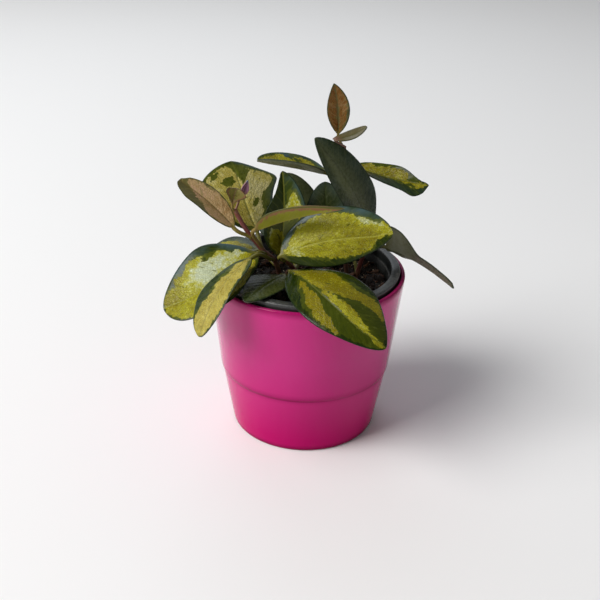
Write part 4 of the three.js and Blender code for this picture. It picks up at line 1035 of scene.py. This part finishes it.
# The fraying as (scale, detail, reach in metres), fine and broad, of the yellow and of the green round it
FINE_FRAY, BROAD_FRAY = (420.0, 5.0, 0.0055), (150.0, 5.0, 0.0075)
FINE_GREEN_FRAY, BROAD_GREEN_FRAY = (330.0, 4.0, 0.006), (110.0, 5.0, 0.012)
ragged = maths(marbling, "ADD", wobble(takes["Slanted"], *FINE_FRAY), wobble(takes["Flat"], *BROAD_FRAY))
edge = maths(marbling, "ADD", takes["Inside"], ragged)
loose = maths(marbling, "ADD", takes["Inside"], wobble(takes["Flat"], *BROAD_GREEN_FRAY))
loose = maths(marbling, "ADD", loose, wobble(takes["Slanted"], *FINE_GREEN_FRAY))
lighter = between(marbling, maths(marbling, "ADD", takes["Green"], ragged), -0.0003, 0.0006)
greens = maths(marbling, "MAXIMUM", between(marbling, loose, -0.0016, -0.0013), lighter)
flecks, mottle = noise(marbling, takes["Slanted"], 300.0, 5.0), noise(marbling, takes["Flat"], 420.0, 4.0)
marbling.links.new(between(marbling, edge, -0.00008, 0.00016), gives["Bare"])
marbling.links.new(greens, gives["Half"])
marbling.links.new(between(marbling, flecks, 0.645, 0.665), gives["Fleck"])
marbling.links.new(noise(marbling, takes["Flat"], 75.0, 3.0), gives["Cloud"])
marbling.links.new(between(marbling, mottle, 0.35, 0.68), gives["Mottle"])


# The skin of a leaf: marbled above, plain beneath, with a darker rim, a midrib and a stalk. A bluish
# painted reflection of the sky lies on the dark margins of some. The marks on the mesh say what lies where.
TONES = ("Dark", "Dark Light", "Half", "Half Light", "Bare", "Bare Light", "Milk", "Rib", "Rib Light", "Rim",
         "Stalk", "Under", "Under Light", "Blush")
SKY_SHEEN_ON_DARK, SKY_SHEEN_ON_GREEN = (0.058, 0.100, 0.105, 1), (0.085, 0.130, 0.095, 1)
blade_skin, takes, gives = new_group(
    "leaf_skin",
    [(tone, "Color", (0, 0, 0, 1)) for tone in TONES] + [("Dullness", "Float", 0.3)],
    [("Color", "Color"), ("Roughness", "Float"), ("Height", "Float")],
)


def part_of(value, share):
    """A part of a value."""
    return maths(blade_skin, "MULTIPLY", value, share)


def outside(value, low, high):
    """1 below low, 0 above high, and an even slope between."""
    return rest_of(blade_skin, between(blade_skin, value, low, high))


def layered(colour, *layers):
    """A colour with others laid over it in turn, each with its share."""
    for share, over in layers:
        colour = mixed(blade_skin, share, colour, over)
    return colour


along, across, light, rim, sky_sheen = (
    mark(blade_skin, label) for label in ("along", "across", "light", "rim", "sky_sheen")
)
veins = placed(blade_skin, lines, Along=along, Across=across, Seed=mark(blade_skin, "seed"))
patches = placed(
    blade_skin, marbling, Inside=mark(blade_skin, "pale"), Green=mark(blade_skin, "green"),
    Slanted=veins["Slanted"], Flat=veins["Flat"],
)
threads, cloud, mottle = veins["Threads"], patches["Cloud"], patches["Mottle"]
veined = part_of(veins["Veins"], mark(blade_skin, "veined"))
# Each tone goes towards its lighter copy where the light mark runs high, so its painted highlights and shade
# show in the colour.
swing = part_of(maths(blade_skin, "SUBTRACT", cloud, 0.5), 1.8)
swing = maths(blade_skin, "ADD", swing, part_of(maths(blade_skin, "SUBTRACT", mottle, 0.5), 0.5))
lit = maths(blade_skin, "ADD", light, swing, clamp=True)
# Where light and its swing run high, a pale painted sheen, the sky's reflection, covers the yellow.
painted_sheen_share = between(blade_skin, maths(blade_skin, "ADD", light, swing), 0.85, 1.5)
calm = maths(blade_skin, "ADD", light, part_of(swing, 0.35), clamp=True)
# A painted bluish reflection of the sky along the margins, in cloudy patches near the edge.
sky_sheen_share = part_of(sky_sheen, part_of(outside(rim, 0.001, 0.010), between(blade_skin, cloud, 0.35, 0.62)))
deep = layered(
    takes["Dark"],
    (part_of(calm, 0.95), takes["Dark Light"]),
    (part_of(threads, 0.35), takes["Half"]),
    (veined, takes["Half Light"]),
    (sky_sheen_share, SKY_SHEEN_ON_DARK),
)
half = layered(
    takes["Half"],
    (lit, takes["Half Light"]),
    (part_of(rest_of(blade_skin, threads), 0.35), takes["Dark"]),
    (part_of(veined, 0.7), takes["Half Light"]),
    (part_of(sky_sheen_share, 0.45), SKY_SHEEN_ON_GREEN),
)
bare = layered(
    takes["Bare"],
    (lit, takes["Bare Light"]),
    (painted_sheen_share, takes["Milk"]),
    (part_of(rest_of(blade_skin, veins["Cells"]), 0.34), takes["Half"]),
    (part_of(threads, 0.26), takes["Half Light"]),
    (part_of(veins["Veins"], part_of(cloud, 0.3)), takes["Bare Light"]),
    (part_of(patches["Fleck"], 0.75), half),
)
rib = outside(maths(blade_skin, "ABSOLUTE", across), 0.0002, 0.0007)
line = outside(rim, 0.0003, 0.0011)
hem = outside(maths(blade_skin, "ADD", rim, part_of(threads, 0.0022)), 0.0027, 0.0033)
above = layered(
    deep,
    (patches["Half"], half),
    (patches["Bare"], bare),
    (part_of(rib, 0.7), layered(takes["Rib"], (mark(blade_skin, "clear_rib"), takes["Rib Light"]))),
    (part_of(line, 0.85), takes["Rim"]),
)
under = layered(
    takes["Under"],
    (cloud, takes["Under Light"]),
    (part_of(patches["Bare"], 0.25), takes["Bare"]),
    (part_of(threads, 0.3), takes["Dark Light"]),
    (part_of(rib, 0.6), takes["Rib"]),
    (part_of(line, 0.7), takes["Rim"]),
)
blushing = part_of(hem, part_of(rest_of(blade_skin, line), mark(blade_skin, "blush")))
colour = layered(
    under,
    (between(blade_skin, mark(blade_skin, "upper"), 0.35, 0.65), above),
    (blushing, takes["Blush"]),
    (mark(blade_skin, "stalk"), takes["Stalk"]),
)
crinkle = scaled(blade_skin, patches["Bare"], 0.85, 0.12)
blade_skin.links.new(colour, gives["Color"])
blade_skin.links.new(scaled(blade_skin, mottle, 0.08, takes["Dullness"]), gives["Roughness"])
blade_skin.links.new(part_of(veins["Relief"], crinkle), gives["Height"])

# Under and Under Light are raised above the undersides' own colour: painted light in the shade beneath the
# blades, more so on the marbled leaves.
PLAIN_LEAF = {
    "Dark": (0.005, 0.014, 0.001), "Dark Light": (0.03, 0.048, 0.005), "Half": (0.046, 0.06, 0.002),
    "Half Light": (0.1, 0.115, 0.01), "Bare": (0.2, 0.16, 0.001), "Bare Light": (0.44, 0.42, 0.018),
    "Milk": (0.56, 0.62, 0.42), "Rib": (0.035, 0.055, 0.006), "Rib Light": (0.42, 0.4, 0.06),
    "Rim": (0.01, 0.022, 0.008), "Stalk": (0.14, 0.13, 0.025), "Under": (0.125, 0.125, 0.08),
    "Under Light": (0.2, 0.198, 0.14), "Blush": (0.25, 0.1, 0.06),
}
LEAF_FINISHES = {
    "marbled": {"Under": (0.18, 0.195, 0.125), "Under Light": (0.29, 0.3, 0.205)},
    "golden": {
        "Bare": (0.3, 0.22, 0.025), "Bare Light": (0.52, 0.44, 0.095), "Rib Light": (0.4, 0.33, 0.08),
        "Rim": (0.03, 0.045, 0.03), "Milk": (0.64, 0.57, 0.26),
    },
    "dark": {
        "Dark": (0.012, 0.023, 0.003), "Dark Light": (0.13, 0.145, 0.066), "Half": (0.055, 0.068, 0.014),
        "Half Light": (0.095, 0.108, 0.04), "Bare": (0.06, 0.068, 0.02), "Bare Light": (0.14, 0.15, 0.07),
        "Rib Light": (0.11, 0.12, 0.06), "Stalk": (0.11, 0.105, 0.03),
    },
    "bronze": {
        "Dark": (0.06, 0.058, 0.012), "Dark Light": (0.13, 0.115, 0.032), "Half": (0.17, 0.13, 0.03),
        "Half Light": (0.28, 0.225, 0.085), "Bare": (0.185, 0.06, 0.001), "Bare Light": (0.5, 0.345, 0.17),
        "Milk": (0.56, 0.3, 0.23), "Rib": (0.12, 0.09, 0.025), "Rib Light": (0.2, 0.16, 0.05),
        "Rim": (0.022, 0.032, 0.012), "Stalk": (0.24, 0.19, 0.045), "Under": (0.15, 0.11, 0.06),
        "Under Light": (0.21, 0.14, 0.09),
    },
    "young": {
        "Dark": (0.2, 0.165, 0.04), "Dark Light": (0.27, 0.24, 0.07), "Half": (0.22, 0.18, 0.045),
        "Half Light": (0.27, 0.23, 0.065), "Bare": (0.24, 0.21, 0.04), "Bare Light": (0.38, 0.37, 0.1),
        "Milk": (0.48, 0.46, 0.19), "Rib": (0.36, 0.2, 0.1), "Rib Light": (0.42, 0.22, 0.13),
        "Rim": (0.03, 0.034, 0.018), "Stalk": (0.21, 0.15, 0.045), "Under": (0.15, 0.155, 0.008),
        "Under Light": (0.29, 0.285, 0.02),
    },
    "dull": {
        "Dark": (0.08, 0.07, 0.03), "Dark Light": (0.13, 0.105, 0.045), "Half": (0.14, 0.115, 0.045),
        "Half Light": (0.17, 0.14, 0.065), "Bare": (0.16, 0.12, 0.045), "Bare Light": (0.19, 0.14, 0.06),
        "Rib Light": (0.2, 0.16, 0.085), "Rim": (0.05, 0.055, 0.025), "Stalk": (0.18, 0.1, 0.07),
        "Under": (0.13, 0.11, 0.05), "Under Light": (0.17, 0.13, 0.065),
    },
}
FINISH_DULLNESS = {"marbled": 0.20, "golden": 0.26, "dark": 0.24, "bronze": 0.30, "young": 0.30, "dull": 0.34}
FIRST_SEED, SEED_STEP, BUD_SEED = 1.0, 0.73, 4.0
leaf_finishes = {}
for name, tones in LEAF_FINISHES.items():
    made, tree, shader = new_finish(
        name + "_leaf", Specular_IOR_Level=0.2, Coat_Weight=0.06, Coat_Roughness=0.1, Coat_IOR=1.4, IOR=1.46
    )
    tones = {tone: tuple(value) + (1,) for tone, value in dict(PLAIN_LEAF, **tones).items()}
    coat = placed(tree, blade_skin, Dullness=FINISH_DULLNESS[name], **tones)
    surfaced(tree, shader, coat["Color"], coat["Roughness"], coat["Height"], 0.8, 0.0006)
    leaf_finishes[name] = made
for number, (name, leaf) in enumerate(LEAVES.items()):
    blade = grown_leaf(name, leaf, FIRST_SEED + SEED_STEP * number)
    blade.data.materials.append(leaf_finishes[leaf["finish"]])
    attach(blade, "root")
    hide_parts(name)


# The bud: the growing point at the end of the left stem, two tiny unopened leaves pressed together,
# pink violet with a bluish tip.
bud = dict(
    node=(-49.3, -17, 170.5), base=(-45.6, -12, 180.4), tip=(-41.4, -8, 189.4), faces=(0.6, -0.7, 0.3),
    wide=7, bow=0, sway=0, fold=(30, 30), stalk=0.8, widest=0.34, tip_blunt=1.0,
)
BUD_VIOLET, BUD_PINK = (0.230, 0.075, 0.140, 1), (0.400, 0.210, 0.300, 1)
BLUISH_TIP, BUD_STALK = (0.110, 0.180, 0.240, 1), (0.250, 0.120, 0.070, 1)
violet, tree, shader = new_finish("violet_bud", IOR=1.45, Coat_Weight=0.15, Coat_Roughness=0.3)
coat = placed(tree, uneven, Size=260.0, Stretch=0.4, Seed=5.0)
pink = mixed(tree, coat["Cloud"], BUD_VIOLET, BUD_PINK)
pink = mixed(tree, between(tree, mark(tree, "along"), 0.0075, 0.0105), pink, BLUISH_TIP)
pink = mixed(tree, mark(tree, "stalk"), pink, BUD_STALK)
surfaced(tree, shader, pink, scaled(tree, coat["Grain"], 0.25, 0.3), coat["Grain"], 0.4, 0.0002)
bud_piece = grown_leaf("bud_tip", bud, BUD_SEED)
bud_piece.data.materials.append(violet)
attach(bud_piece, "root")
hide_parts("bud_tip")
